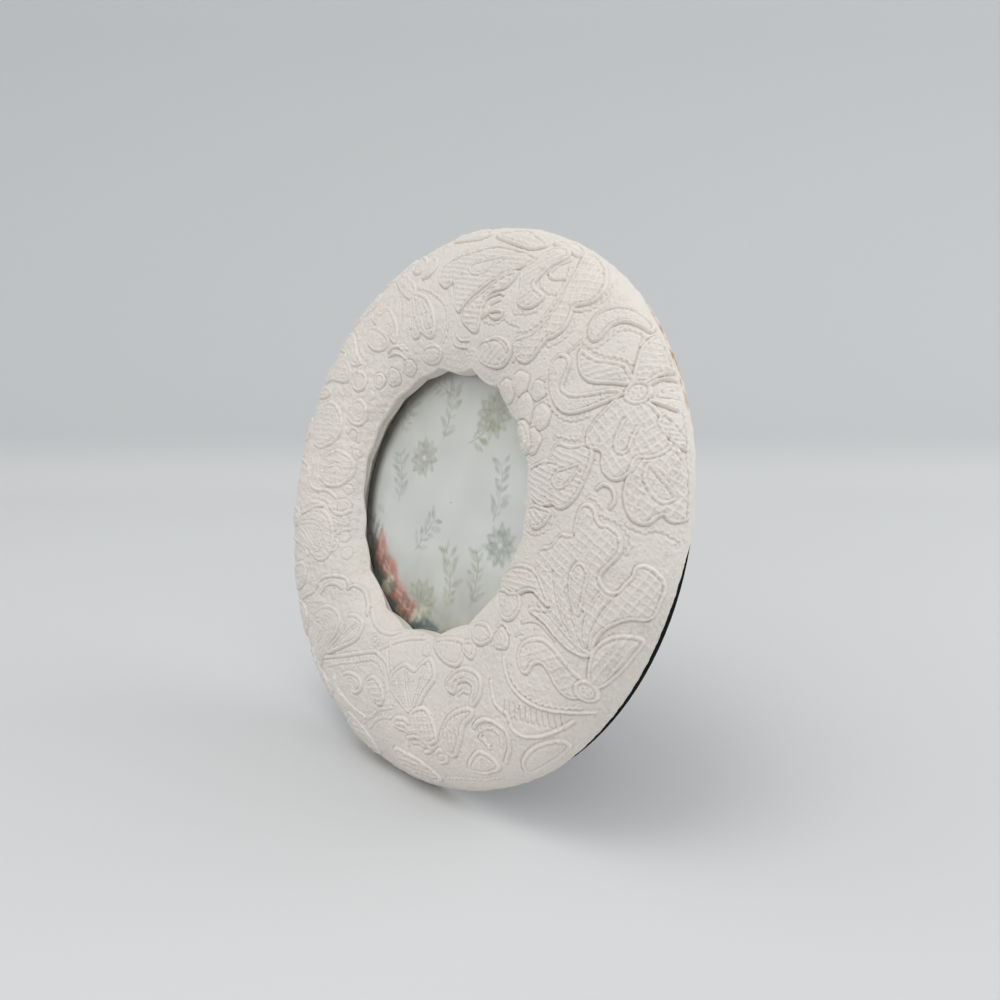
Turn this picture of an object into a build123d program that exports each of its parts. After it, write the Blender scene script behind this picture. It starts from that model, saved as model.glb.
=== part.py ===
# Round photo frame: a cast ring with a scalloped opening, leaning back on a folding easel leg.
# Lengths are in millimetres and angles in degrees.
# Everything is modelled face up first: X to the right, Y up the face, Z out of the face towards
# the viewer, with Z = 0 on the back of the cast ring. The last step leans the frame back and
# sets it on the floor, with the face towards -Y.
import math
import os

from build123d import *

# Cast ring. Its section is stepped finely along two ellipses that meet at the crown
ring_radius = 102.0
ring_thickness = 17.5
rim_height = 0.8
crown_radius = 66.0
mouth_radius = 45.0
mouth_height = 10.0
rim_steps = 8
mouth_steps = 4
ledge_height = 7.4

# Skirt round the board's edge, and the stretch at the lower right where the board comes through it
skirt_thickness = 1.2
board_clearance = 0.2
skirt_gap_angles = (-48, 6)
skirt_end_gap = 0.3

# Lace relief, raised on the face: round berries along the opening, flower buttons, and petals and
# leaves. A berry has its direction. A button has its place to the right and up the face. A petal
# has its centre's place, its length and its width, and its direction. Places and sizes are shares
# of the ring's radius
berry_radius = 3.8
berry_height = 0.9
berry_setback = 6.0
berry_angles = (36, 52, 70, 90, 110, 130, 152, 193, 235, 262, 297, 322)
petal_height = 0.6
petal_shares = (
    (0.68, 0.51, 0.19, 0.06, 172),
    (0.53, 0.48, 0.18, 0.07, 70),
    (0.81, 0.34, 0.25, 0.19, 95),
    (0.80, 0.57, 0.15, 0.07, 98),
    (0.51, 0.74, 0.24, 0.11, 100),
    (0.31, 0.80, 0.20, 0.12, 118),
    (0.60, 0.19, 0.25, 0.17, 15),
    (0.77, -0.05, 0.30, 0.24, 100),
    (0.68, -0.40, 0.21, 0.08, 18),
    (0.88, -0.31, 0.18, 0.08, 58),
    (0.68, -0.61, 0.19, 0.05, 28),
    (0.18, -0.82, 0.26, 0.22, 0),
    (0.05, 0.81, 0.30, 0.19, 8),
    (-0.19, 0.67, 0.19, 0.17, 150),
    (-0.43, 0.62, 0.24, 0.14, 62),
    (-0.72, 0.50, 0.28, 0.09, 162),
    (-0.73, 0.19, 0.24, 0.17, 0),
    (-0.60, 0.03, 0.20, 0.12, 8),
    (-0.66, -0.25, 0.26, 0.18, 172),
    (-0.79, -0.46, 0.24, 0.09, 14),
    (-0.47, -0.61, 0.22, 0.14, 50),
    (-0.20, -0.72, 0.35, 0.21, 14),
)
flower_button_radius = 3.2
flower_button_height = 0.9
flower_button_shares = ((0.80, 0.46), (0.83, -0.43))

# Scalloped opening: the direction of each cusp, anticlockwise from the right, and how far the
# lobe that follows it swells inwards, as a share of its chord
ledge_width = 2.6
cusp_angles = (23, 41, 62, 81, 103, 118, 135, 151, 170, 187, 207, 225, 249, 266, 289, 310, 331, 355)
lobe_shares = (0.05, 0.08, 0.07, 0.05, 0.03, 0.03, 0.02, 0.02, 0.02, 0.02, 0.03, 0.03, 0.04, 0.05,
               0.06, 0.05, 0.07, 0.04)

# Layers in the pocket behind the ledge
pocket_radius = 51.8
pocket_clearance = 0.5
glass_thickness = 2.0
insert_clearance = 1.0
insert_thickness = 0.3
panel_thickness = 3.0

# Backing behind the ring
board_thickness = 2.5
velvet_thickness = 0.5
velvet_inset = 0.8
base_flat_depth = 0.35

# Turn buttons and their screws
button_angles = (45, 135, 225, 315)
button_setback = 6.7
button_overlap = 4.0
button_tail = 4.5
button_width = 8.0
button_thickness = 0.8
button_gap = 0.1
screw_radius = 1.25
screw_bite = 2.0
screw_head_radius = 2.6
screw_head_height = 1.5
screw_slot_width = 0.6
screw_slot_depth = 0.6

# Hinge of the leg
hinge_setback = 21.3
pin_radius = 1.0
pin_head_radius = 1.5
pin_head_thickness = 0.8
knuckle_wall = 0.9
knuckle_gap = 0.3
knuckle_length = 8.0
leaf_width = 22.0
leaf_length = 14.0
leaf_thickness = 0.8
leaf_corner_radius = 2.5
fold_gap = 0.4
rivet_radius = 1.1
rivet_head_radius = 1.9
rivet_head_height = 0.9
rivet_side_share = 0.3
rivet_row_share = 0.55
rivet_bite_share = 0.8

# Easel leg and the ribbon that stops it
lean = 15.0
leg_opening = 30.0
leg_thickness = 2.5
leg_top_width = 30.0
leg_foot_width = 44.0
leg_corner_radius = 4.0
ribbon_width = 12.0
ribbon_thickness = 0.3
ribbon_tab = 8.0
ribbon_setback = 9.3
ribbon_leg_share = 1.08
staple_wire = 0.5
staple_side_gap = 0.3
staple_bite = 1.8

# Fits
running_clearance = 0.05
overrun = 1.0

# Levels along Z, all behind the ring's back where negative
glass_back = ledge_height - glass_thickness
insert_back = glass_back - insert_thickness
board_back = -board_thickness
panel_front = board_back + panel_thickness
velvet_back = board_back - velvet_thickness
knuckle_radius = pin_radius + running_clearance + knuckle_wall
axis_drop = knuckle_radius + running_clearance
axis_level = velvet_back - axis_drop

# Sizes that follow from fits
recess_radius = ring_radius - skirt_thickness
board_radius = recess_radius - board_clearance
cusp_radius = pocket_radius - ledge_width
pocket_fill_radius = pocket_radius - pocket_clearance
hinge_height = pocket_fill_radius - hinge_setback
ribbon_height = ribbon_setback - pocket_fill_radius
ribbon_leg_drop = ribbon_leg_share * (hinge_height - ribbon_height)
button_pivot_radius = pocket_radius + button_setback
button_reach = button_setback + button_overlap
rivet_bite = panel_thickness * rivet_bite_share
hinge_half_width = knuckle_length / 2 + knuckle_gap + (leaf_width - knuckle_length) / 2
leaf_start = knuckle_radius + knuckle_gap
leg_front = fold_gap + leaf_thickness - axis_drop
leg_back = leg_front + leg_thickness
ribbon_stack = ribbon_thickness + 2 * running_clearance

# Directions and planes. The floor is found from the lowest edge of the leaning board
up = Vector(0, math.cos(math.radians(lean)), math.sin(math.radians(lean)))
board_edge = Vector(0, -ring_radius, board_back)
floor_height = board_edge.dot(up) + base_flat_depth
floor_plane = Plane(origin=up * floor_height, x_dir=(1, 0, 0), z_dir=up)
back_plane = Plane(origin=(0, 0, velvet_back), x_dir=(1, 0, 0), z_dir=(0, 0, -1))
hinge_point = Vector(0, hinge_height, axis_level)
open_angle = math.radians(leg_opening)
leg_plane = Plane(
    origin=hinge_point,
    x_dir=(1, 0, 0),
    z_dir=(0, math.sin(open_angle), -math.cos(open_angle)),
)
leg_reach = (hinge_point.dot(up) - floor_height) / math.cos(math.radians(leg_opening - lean))


def polar(radius, angle):
    """A point at a radius and an angle from the ring's centre."""
    return Vector(radius * math.cos(math.radians(angle)), radius * math.sin(math.radians(angle)))


def disc(radius, low, high):
    """A flat round layer between two levels."""
    return Pos(0, 0, low) * Cylinder(radius, high - low, align=(Align.CENTER, Align.CENTER, Align.MIN))


def rod(radius, low, high):
    """A round bar along X between two places."""
    bar = Cylinder(radius, high - low, align=(Align.CENTER, Align.CENTER, Align.MIN))
    return Pos(low, 0, 0) * Rot(0, 90, 0) * bar


def slab(x, y, z):
    """A box given by its low and high limits along each axis."""
    block = Box(x[1] - x[0], y[1] - y[0], z[1] - z[0], align=(Align.MIN, Align.MIN, Align.MIN))
    return Pos(x[0], y[0], z[0]) * block


def below_floor():
    """The space under the floor that the leaning frame stands on."""
    side = 4 * ring_radius
    return floor_plane * Box(side, side, side, align=(Align.CENTER, Align.CENTER, Align.MAX))


def scallop_outline():
    """The closed outline of the opening: one arc for each lobe, from cusp to cusp."""
    lobes = []
    for index, angle in enumerate(cusp_angles):
        start = polar(cusp_radius, angle)
        end = polar(cusp_radius, cusp_angles[(index + 1) % len(cusp_angles)])
        chord_middle = (start + end) / 2
        swell = lobe_shares[index] * (end - start).length
        middle = chord_middle - chord_middle.normalized() * swell
        lobes.append(ThreePointArc(start, middle, end))
    return make_face(Wire(lobes))


def skirt_gap(shrink):
    """The space of the skirt's gap behind the ring, less a margin at each end."""
    start, end = skirt_gap_angles
    margin = math.degrees(shrink / ring_radius)
    reach = 2 * ring_radius
    corners = [polar(reach, angle) for angle in (start + margin, (start + end) / 2, end - margin)]
    return extrude(make_face(Polyline((0, 0), *corners, close=True)), -board_thickness)


def ring_section(lift=0):
    """Half of the ring's section: facets along two ellipses that meet at the crown, lifted if asked."""
    points = [(ring_radius + lift, board_back)]
    rim_rise = ring_thickness - rim_height + lift
    for step in range(rim_steps):
        turn = math.pi / 2 * step / rim_steps
        reach = (ring_radius - crown_radius + lift) * math.cos(turn)
        points.append((crown_radius + reach, rim_height + rim_rise * math.sin(turn)))
    mouth_rise = ring_thickness - mouth_height + lift
    for step in range(mouth_steps + 1):
        turn = math.pi / 2 * step / mouth_steps
        reach = (crown_radius - mouth_radius + lift) * math.sin(turn)
        points.append((crown_radius - reach, mouth_height + mouth_rise * math.cos(turn)))
    points += [(mouth_radius - lift, 0), (recess_radius, 0), (recess_radius, board_back)]
    return make_face(Polyline(*points, close=True))


def raise_shapes(outlines, lift):
    """What stands inside outlines on the face, up to a height above it."""
    columns = extrude(Sketch(children=outlines), ring_thickness + overrun)
    return revolve(Plane.XZ * ring_section(lift), Axis.Z) & columns


def make_relief():
    """The main forms of the lace: petals and leaves, flower buttons and berries."""
    petals = []
    for right, up_face, length, width, direction in petal_shares:
        petal = Rot(0, 0, direction) * Ellipse(length * ring_radius / 2, width * ring_radius / 2)
        petals.append(Pos(right * ring_radius, up_face * ring_radius) * petal)
    buttons = []
    for right, up_face in flower_button_shares:
        buttons.append(Pos(right * ring_radius, up_face * ring_radius) * Circle(flower_button_radius))
    berries = []
    for angle in berry_angles:
        berries.append(Pos(polar(cusp_radius + berry_setback, angle)) * Circle(berry_radius))
    return [
        raise_shapes(petals, petal_height),
        raise_shapes(buttons, flower_button_height),
        raise_shapes(berries, berry_height),
    ]


def make_lace_ring():
    """The domed ring, turned from its section, with its relief, scalloped opening, pocket and skirt."""
    ring = revolve(Plane.XZ * ring_section(), Axis.Z)
    ring += make_relief()
    opening = extrude(Pos(0, 0, ledge_height - overrun) * scallop_outline(), ring_thickness)
    pocket = disc(pocket_radius, -overrun, ledge_height)
    return ring - opening - pocket - skirt_gap(0) - below_floor()


def make_backing_board():
    """The ring-shaped board inside the skirt, with a tongue that comes through the skirt's gap."""
    tongue = disc(ring_radius - board_clearance, board_back, 0) & skirt_gap(skirt_end_gap)
    board = disc(board_radius, board_back, 0) + tongue - disc(pocket_radius, board_back - overrun, overrun)
    for angle in button_angles:
        pilot = disc(screw_radius + running_clearance, board_back - overrun, board_back + screw_bite)
        board -= Pos(polar(button_pivot_radius, angle)) * pilot
    return board


def make_backing_velvet():
    """The cloth glued on the board, just short of its edges."""
    outer = board_radius - velvet_inset
    inner = pocket_radius + velvet_inset
    cloth = disc(outer, velvet_back, board_back) - disc(inner, velvet_back - overrun, board_back + overrun)
    for angle in button_angles:
        hole = disc(screw_radius + running_clearance, velvet_back - overrun, board_back + overrun)
        cloth -= Pos(polar(button_pivot_radius, angle)) * hole
    return cloth


def button_plane(angle):
    """The plane of one turn button: origin at its pivot, X towards the ring's centre."""
    pivot = polar(button_pivot_radius, angle)
    return Plane(origin=(pivot.X, pivot.Y, velvet_back), x_dir=-pivot, z_dir=(0, 0, -1))


def make_turn_button(angle):
    """A stamped tongue with round ends that reaches over the edge of the back panel."""
    length = button_reach + button_tail
    outline = Pos((button_reach - button_tail) / 2, 0) * SlotOverall(length, button_width)
    outline -= Circle(screw_radius + 2 * running_clearance)
    return button_plane(angle) * extrude(Pos(0, 0, button_gap) * outline, button_thickness)


def make_button_screws():
    """One slotted screw for each turn button."""
    head_seat = 2 * button_gap + button_thickness
    screws = []
    for angle in button_angles:
        head = disc(screw_head_radius, head_seat, head_seat + screw_head_height)
        head = chamfer(head.edges().group_by(Axis.Z)[-1], screw_slot_depth)
        shank = disc(screw_radius, -velvet_thickness - screw_bite, head_seat)
        half_slot = screw_slot_width / 2
        top = head_seat + screw_head_height
        depth = (top - screw_slot_depth, top)
        slot = slab((-screw_head_radius, screw_head_radius), (-half_slot, half_slot), depth)
        screw = head + shank - slot
        screws.append(button_plane(angle) * screw)
    return Compound(children=screws)


def leaf_plate(outer, inner):
    """A hinge plate that starts beside the knuckles, between two levels from the pin's axis."""
    outline = Pos(0, leaf_start + leaf_length / 2) * Rectangle(leaf_width, leaf_length)
    far_corners = outline.vertices().group_by(Axis.Y)[-1]
    outline = fillet(far_corners, leaf_corner_radius)
    return extrude(Pos(0, 0, outer) * outline, inner - outer)


def rivet_spots():
    """The places of the rivets on a hinge plate, measured from the pin's axis."""
    for side in (-rivet_side_share, rivet_side_share):
        yield side * leaf_width, leaf_start + rivet_row_share * leaf_length


def make_leaf(outer, inner, knuckles):
    """A hinge plate with its knuckles rolled round the pin."""
    leaf = leaf_plate(outer, inner)
    for low, high in knuckles:
        leaf += rod(knuckle_radius, low, high) + slab((low, high), (0, leaf_start + overrun), (outer, inner))
    for x, y in rivet_spots():
        leaf -= Pos(x, y) * disc(rivet_radius + running_clearance, outer - overrun, inner + overrun)
    return leaf - rod(pin_radius + running_clearance, -leaf_width, leaf_width)


def outer_knuckles():
    """The two outer stretches of the hinge, which belong to the panel's plate."""
    inner_end = knuckle_length / 2 + knuckle_gap
    return (-hinge_half_width, -inner_end), (inner_end, hinge_half_width)


def panel_hinge_plane():
    """The hinge seen from the back, with Y up the panel from the pin's axis."""
    return Plane(origin=hinge_point, x_dir=(-1, 0, 0), z_dir=(0, 0, -1))


def make_hinge_leaf_panel():
    """The plate riveted to the back panel, above the pin."""
    return panel_hinge_plane() * make_leaf(-axis_drop, leaf_thickness - axis_drop, outer_knuckles())


def make_hinge_leaf_leg():
    """The plate riveted to the leg, below the pin."""
    knuckle = ((-knuckle_length / 2, knuckle_length / 2),)
    return leg_plane * make_leaf(leg_front - leaf_thickness, leg_front, knuckle)


def make_hinge_pin():
    """The pin through all the knuckles, with a head at each end."""
    end = hinge_half_width + running_clearance
    pin = rod(pin_radius, -end, end)
    pin += rod(pin_head_radius, end, end + pin_head_thickness)
    pin += rod(pin_head_radius, -end - pin_head_thickness, -end)
    return Pos(hinge_point) * pin


def rivet(foot, seat):
    """A rivet along Z with a low bevelled head on its seat."""
    head = disc(rivet_head_radius, seat, seat + rivet_head_height)
    head = chamfer(head.edges().group_by(Axis.Z)[-1], rivet_head_height / 2)
    return head + disc(rivet_radius, foot, seat)


def make_panel_rivets():
    """The rivets that hold the upper plate to the back panel."""
    seat = leaf_thickness - axis_drop
    foot = -axis_drop - velvet_thickness - rivet_bite
    return Compound(children=[panel_hinge_plane() * Pos(x, y) * rivet(foot, seat) for x, y in rivet_spots()])


def make_leg_rivets():
    """The rivets through the lower plate and the leg, with their heads on the leg's back."""
    foot = leg_front - leaf_thickness
    seat = leg_back + velvet_thickness
    return Compound(children=[leg_plane * Pos(x, y) * rivet(foot, seat) for x, y in rivet_spots()])


def panel_rivet_holes():
    """The holes for the upper rivets in the back panel and its cloth."""
    holes = []
    for x, y in rivet_spots():
        hole = disc(rivet_radius + running_clearance, -axis_drop - velvet_thickness - rivet_bite, -axis_drop)
        holes.append(panel_hinge_plane() * Pos(x, y) * hole)
    return holes


def make_back_panel():
    """The round panel that closes the pocket, held in by the turn buttons."""
    panel = disc(pocket_fill_radius, board_back, panel_front)
    for hole in panel_rivet_holes():
        panel -= hole
    return panel - make_panel_staple()


def make_panel_velvet():
    """The cloth glued on the back panel."""
    cloth = disc(pocket_fill_radius - velvet_inset, velvet_back, board_back)
    for hole in panel_rivet_holes():
        cloth -= hole
    return cloth - make_panel_staple()


def leg_outline(inset):
    """The leg seen from the back: narrow at the hinge, wide at the foot."""
    top = leaf_start + knuckle_gap + inset
    foot = leg_reach + leg_thickness
    top_half = leg_top_width / 2 - inset
    foot_half = leg_foot_width / 2 - inset
    outline = make_face(Polyline(
        (-top_half, top), (top_half, top), (foot_half, foot), (-foot_half, foot), close=True
    ))
    return fillet(outline.vertices().group_by(Axis.Y)[0], leg_corner_radius)


def leg_rivet_holes():
    """The holes for the lower rivets in the leg and its cloth."""
    holes = []
    for x, y in rivet_spots():
        hole = disc(rivet_radius + running_clearance, leg_front - overrun, leg_back + overrun)
        holes.append(Pos(x, y) * hole)
    return holes


def make_easel_leg():
    """The leg's board, cut level where it stands on the floor."""
    leg = extrude(Pos(0, 0, leg_front) * leg_outline(0), leg_thickness)
    for hole in leg_rivet_holes():
        leg -= hole
    return leg_plane * leg - make_leg_staple() - below_floor()


def make_leg_velvet():
    """The cloth on the leg's back, which ends just above the floor."""
    cloth = extrude(Pos(0, 0, leg_back) * leg_outline(velvet_inset), velvet_thickness)
    for hole in leg_rivet_holes():
        cloth -= hole
    return leg_plane * cloth - Pos(up * velvet_inset) * below_floor()


def ribbon_ends():
    """Where the ribbon leaves the panel and where it meets the leg, on its middle line."""
    middle = ribbon_stack / 2
    panel_end = Vector(0, ribbon_height, velvet_back - middle)
    leg_end = leg_plane.from_local_coords(Vector(0, ribbon_leg_drop, leg_front - middle))
    return panel_end, leg_end


def make_stay_ribbon():
    """The ribbon, pulled straight between its two stapled tabs."""
    panel_end, leg_end = ribbon_ends()
    panel_tab = panel_end - Vector(0, ribbon_tab, 0)
    leg_tab = leg_end + leg_plane.y_dir * ribbon_tab
    line = [panel_tab, panel_end, leg_end, leg_tab]
    runs = [(after - before).normalized() for before, after in zip(line, line[1:])]
    near_side = []
    far_side = []
    for index, point in enumerate(line):
        before = runs[max(index - 1, 0)]
        after = runs[min(index, len(runs) - 1)]
        along = (before + after).normalized()
        across = Vector(0, -along.Z, along.Y) * (ribbon_thickness / 2 / along.dot(after))
        near_side.append(point + across)
        far_side.append(point - across)
    outline = make_face(Polyline(*near_side, *reversed(far_side), close=True))
    return extrude(outline, ribbon_width / 2, dir=(1, 0, 0), both=True)


def staple(plane):
    """A wire staple over the ribbon, with its crown along X and its points into the surface."""
    inner = ribbon_width / 2 + staple_side_gap
    outer = inner + staple_wire
    half_wire = staple_wire / 2
    wire = slab((-outer, outer), (-half_wire, half_wire), (ribbon_stack, ribbon_stack + staple_wire))
    for low, high in ((-outer, -inner), (inner, outer)):
        wire += slab((low, high), (-half_wire, half_wire), (-staple_bite, ribbon_stack + staple_wire))
    return plane * wire


def make_panel_staple():
    """The staple through the middle of the ribbon's tab on the panel."""
    return staple(back_plane * Pos(0, ribbon_tab / 2 - ribbon_height))


def make_leg_staple():
    """The staple through the middle of the ribbon's tab on the leg."""
    seat = leg_plane.from_local_coords(Vector(0, ribbon_leg_drop + ribbon_tab / 2, leg_front))
    return staple(Plane(origin=seat, x_dir=(1, 0, 0), z_dir=-leg_plane.z_dir))


nodes = {
    "lace_ring": make_lace_ring(),
    "backing_board": make_backing_board(),
    "backing_velvet": make_backing_velvet(),
    "glass_pane": disc(pocket_fill_radius, glass_back, ledge_height),
    "photo_insert": disc(pocket_radius - insert_clearance, insert_back, glass_back),
    "filler_card": disc(pocket_fill_radius, panel_front, insert_back),
    "back_panel": make_back_panel(),
    "panel_velvet": make_panel_velvet(),
    "button_screws": make_button_screws(),
    "hinge_leaf_panel": make_hinge_leaf_panel(),
    "hinge_leaf_leg": make_hinge_leaf_leg(),
    "hinge_pin": make_hinge_pin(),
    "panel_rivets": make_panel_rivets(),
    "leg_rivets": make_leg_rivets(),
    "easel_leg": make_easel_leg(),
    "leg_velvet": make_leg_velvet(),
    "stay_ribbon": make_stay_ribbon(),
    "panel_staple": make_panel_staple(),
    "leg_staple": make_leg_staple(),
}
for number, button_angle in enumerate(button_angles, start=1):
    nodes[f"turn_button_{number}"] = make_turn_button(button_angle)

# Lean the frame back, set it on the floor and centre it over the origin
stand = Rot(90 - lean, 0, 0)
box = Compound(children=[stand * shape for shape in nodes.values()]).bounding_box()
place = Pos(0, -(box.min.Y + box.max.Y) / 2, -floor_height) * stand

os.makedirs("parts", exist_ok=True)
for name, shape in nodes.items():
    export_step(place * shape, f"parts/{name}.step")


def report_point(label, point):
    """Print where a point of the modelled frame ends up once the frame stands on the floor."""
    placed = (place * Pos(point)).position
    print(f"{label}: {placed.X:.3f} {placed.Y:.3f} {placed.Z:.3f}")


report_point("hinge axis", hinge_point)
for number, button_angle in enumerate(button_angles, start=1):
    report_point(f"turn button {number} pivot", button_plane(button_angle).origin)
report_point("centre of the ring's back", Vector(0, 0, 0))
report_point("leg's front face at the floor", leg_plane.from_local_coords(Vector(0, leg_reach, 0)))
print(f"leg from the pin to the floor: {leg_reach:.2f}")
print(f"ribbon cut length: {(ribbon_ends()[1] - ribbon_ends()[0]).length + 2 * ribbon_tab:.2f}")
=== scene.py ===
"""Round photo frame with a cast lace ring. Local lengths are in millimetres and angles in degrees:
u runs to the right, v up the face and n out of the face, from the centre of the ring's back."""
import math

import bmesh
import bpy
import numpy as np
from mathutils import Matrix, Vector


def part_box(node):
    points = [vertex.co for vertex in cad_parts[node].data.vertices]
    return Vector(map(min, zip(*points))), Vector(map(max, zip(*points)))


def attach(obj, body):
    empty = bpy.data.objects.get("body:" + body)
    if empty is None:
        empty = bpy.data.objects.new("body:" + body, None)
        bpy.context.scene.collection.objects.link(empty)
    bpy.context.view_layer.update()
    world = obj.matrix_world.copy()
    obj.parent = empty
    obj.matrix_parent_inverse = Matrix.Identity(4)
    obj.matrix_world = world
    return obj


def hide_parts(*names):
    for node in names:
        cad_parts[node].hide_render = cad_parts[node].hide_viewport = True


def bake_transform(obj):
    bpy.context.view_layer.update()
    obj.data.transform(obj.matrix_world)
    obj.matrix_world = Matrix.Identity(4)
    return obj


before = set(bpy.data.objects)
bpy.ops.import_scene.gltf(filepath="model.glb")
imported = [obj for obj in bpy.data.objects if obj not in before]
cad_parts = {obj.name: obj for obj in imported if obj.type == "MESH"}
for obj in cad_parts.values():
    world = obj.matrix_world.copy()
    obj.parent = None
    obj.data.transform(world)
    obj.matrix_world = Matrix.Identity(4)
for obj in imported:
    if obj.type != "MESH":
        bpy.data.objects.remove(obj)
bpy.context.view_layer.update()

MM = 0.001
LEAN = math.radians(15.0)

# Ring, with the solid's section. Its lobes at the top and on the right swell further in than the solid's
RING_RADIUS = 102.0
RING_THICKNESS = 17.5
RIM_HEIGHT = 0.8
CROWN_RADIUS = 66.0
MOUTH_RADIUS = 45.0
MOUTH_HEIGHT = 10.0
LEDGE_HEIGHT = 7.4
POCKET_RADIUS = 51.8
CUSP_RADIUS = 49.2
CUSP_ANGLES = (23, 41, 62, 81, 103, 118, 135, 151, 170, 187, 207, 225, 249, 266, 289, 310, 331, 355)
LOBE_SHARES = (0.08, 0.11, 0.11, 0.09, 0.04, 0.03, 0.02, 0.02, 0.02, 0.02, 0.03, 0.03, 0.04, 0.05,
               0.06, 0.05, 0.09, 0.07)

# Camera, from the ring's centre
CAMERA_PLACE = (0.2771, -0.2299, 0.0850)
CAMERA_HEADING = (-0.7247, 0.6512, -0.2260)

# Leg's hinge in v and n, and the stay ribbon between the panel and the leg
HINGE_PLACE = (30.0, -5.0)
LEG_OPENING = math.radians(30.0)
RIBBON_WIDTH = 12.0
RIBBON_THICKNESS = 0.3
RIBBON_TAB = 8.0
RIBBON_PANEL_END = (-42.0, -3.2)
RIBBON_LEG_DROP = 77.76
RIBBON_LEG_LIFT = 1.0
RIBBON_SLACK = 0.25
RIBBON_SELVEDGE = 0.8
SELVEDGE_SWELL = 0.25
RIBBON_EARLY_BEND = 0.06
RIBBON_ROWS = 57
RIBBON_COLUMNS = 15

# Loose print: its faces in the pocket and its mesh
PRINT_LEVELS = (5.38, 5.12)
PRINT_HUB = 0.004
PRINT_RINGS = 170
PRINT_COLUMNS = 720

# Edge radii of the plain pieces
BOARD_ROUNDING = 0.2
SHEET_ROUNDING = 0.12
BUTTON_ROUNDING = 0.15
WIRE_ROUNDING = 0.1
VELVET_ROUNDING = 0.15
ROUNDED_ANGLE = math.radians(50)

# Studio sweep, in metres: its floor from the near edge, its bend and its wall
SWEEP_AZIMUTH = math.radians(48.3)
SWEEP_NEAR = -1.6
SWEEP_START = 0.43
SWEEP_RADIUS = 0.45
SWEEP_TOP = 2.5
SWEEP_HALF_WIDTH = 2.5
SWEEP_STEPS = 40

# Skirt of the ring round the board, and where the board shows through it
SKIRT_DEPTH = 2.5
RECESS_RADIUS = 100.8
SKIRT_GAP = (-48.0, 6.0)
SKIRT_GAP_TAPER = 16.0
SKIRT_RAGGED_SHARE = 0.15
SKIRT_RAGGED_LIMIT = 0.6
EDGE_START = 0.2
EDGE_UNEVENNESS = 0.22

# Old orange-brown stains on the rim's outer side, by direction and height
STAIN_MIDDLE = 38.0
STAIN_REACH = 12.0
STAIN_TOP = -0.6
STAIN_FADE = 0.9
STAIN_SKIN = 0.5

# Mesh of the ring
RING_COLUMNS = 1800
DOME_ROWS = 190
WALL_ROWS = 16
LIP_ROWS = 12
SKIRT_ROWS = 6
SLOPE_STEP = 0.1
SHARP_EDGE = math.radians(70)

# Wall and lip of the opening. On the left the lip is softer, comes down and leans over the wall
LIP_RADIUS = 0.9
LIP_SOFTENING = 0.5
LIP_SOFT_SIDE = 185.0
LIP_TURNS = (10, 86)
CORNER_REACH = 6
SOFT_CORNER_REACH = 16
WALL_SEEN_SIDE = 184.0
WALL_SEEN_DEPTH = 3.4
WALL_HIDING_ANGLES = (165.0, 205.0)
WALL_SLANT = 1.06
LIP_DROP_SHARE = 0.35
LIP_DROP_REACH = 9.0
FLANK_SLOPE = 0.6
FOOT_UNDERCUT = 1.1
FOOT_NARROWING = 0.35
RULING_DEPTH = 0.05
RULING_COUNT = 190
WALL_UNEVENNESS = 0.08

# Relief map, laid out flat by arc length
MAP_REACH = 110.0
MAP_CELL = 0.2
PROFILE_POINTS = 1441

# Lace: cords with a crease beside them, scalloped threads, and what fills a motif
CORD_HALF_WIDTH = 0.64
CORD_HEIGHT = 1.2
RIDGE_SINK = 0.3
RIDGE_FULLNESS = 0.8
CREASE_SHIFT = (-0.30, -0.26)
CREASE_DEPTH = 0.7
CREASE_REACH = 0.6
PICOT_HALF_WIDTH = 0.45
PICOT_HEIGHT = 0.7
PICOT_PITCH = 2.2
PICOT_SWING = 0.65
PICOT_CREASE = 0.45
FILL_LEVEL = 0.6
FILL_BEND = 0.3
THREAD_HEIGHT = 0.36
THREAD_HALF_WIDTH = 0.4
LATTICE_PITCH = 2.6
RIB_PITCH = 1.9
SEED_HEIGHT = 0.14
SEED_PITCH = 1.5
BERRY_WOBBLE = (0.06, 0.04)
BERRY_SINK = 0.12
BERRY_GROOVE_DEPTH = 0.4
BERRY_GROOVE_HALF_WIDTH = 0.5
BERRY_CREASE_HEIGHT = 0.7

# Wear: towards the left and the bottom cords widen, and creases and fillings fade
CORD_EASE = 0.45
CREASE_EASE = 0.45
WORN_REACH = 70.0
WORN_BELOW = 20.0
FADE_SHARE = 0.5
FADE_REACH = 60.0

# Casting: broad waves, lumps, grain and holes, and how much of the lumps a motif and a berry keep.
# The lumps grow towards the left. Each layer of grain has its passes of softening and its strength
MAP_SOFTENING = 2
HOLLOW_SOFTENING = 12
BROAD_WAVE = 0.12
LUMP_HEIGHT = 0.42
LUMPS_START = 25.0
LUMPS_REACH = 80.0
LEAST_LUMPS = 0.15
GRAIN = 0.12
GRAIN_LAYERS = ((1, 1.3), (9, 0.7))
WANDER = 0.12
SMALL_PITS = 120
SMALL_PIT_RADII = (0.3, 0.5)
SMALL_PIT_DEPTH = 0.45
SMALL_PIT_BAND = (52, 100)
MOTIF_LUMPS = 0.3
BERRY_LUMPS = 0.2

# Centre of the ring's back, from the round glass that stands in its pocket
GLASS_MIDDLE = 6.4
glass_low, glass_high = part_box("glass_pane")
CENTRE_Y = (glass_low[1] + glass_high[1]) / 2 + GLASS_MIDDLE * MM * math.cos(LEAN)
CENTRE_Z = (glass_low[2] + glass_high[2]) / 2 - GLASS_MIDDLE * MM * math.sin(LEAN)


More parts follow.
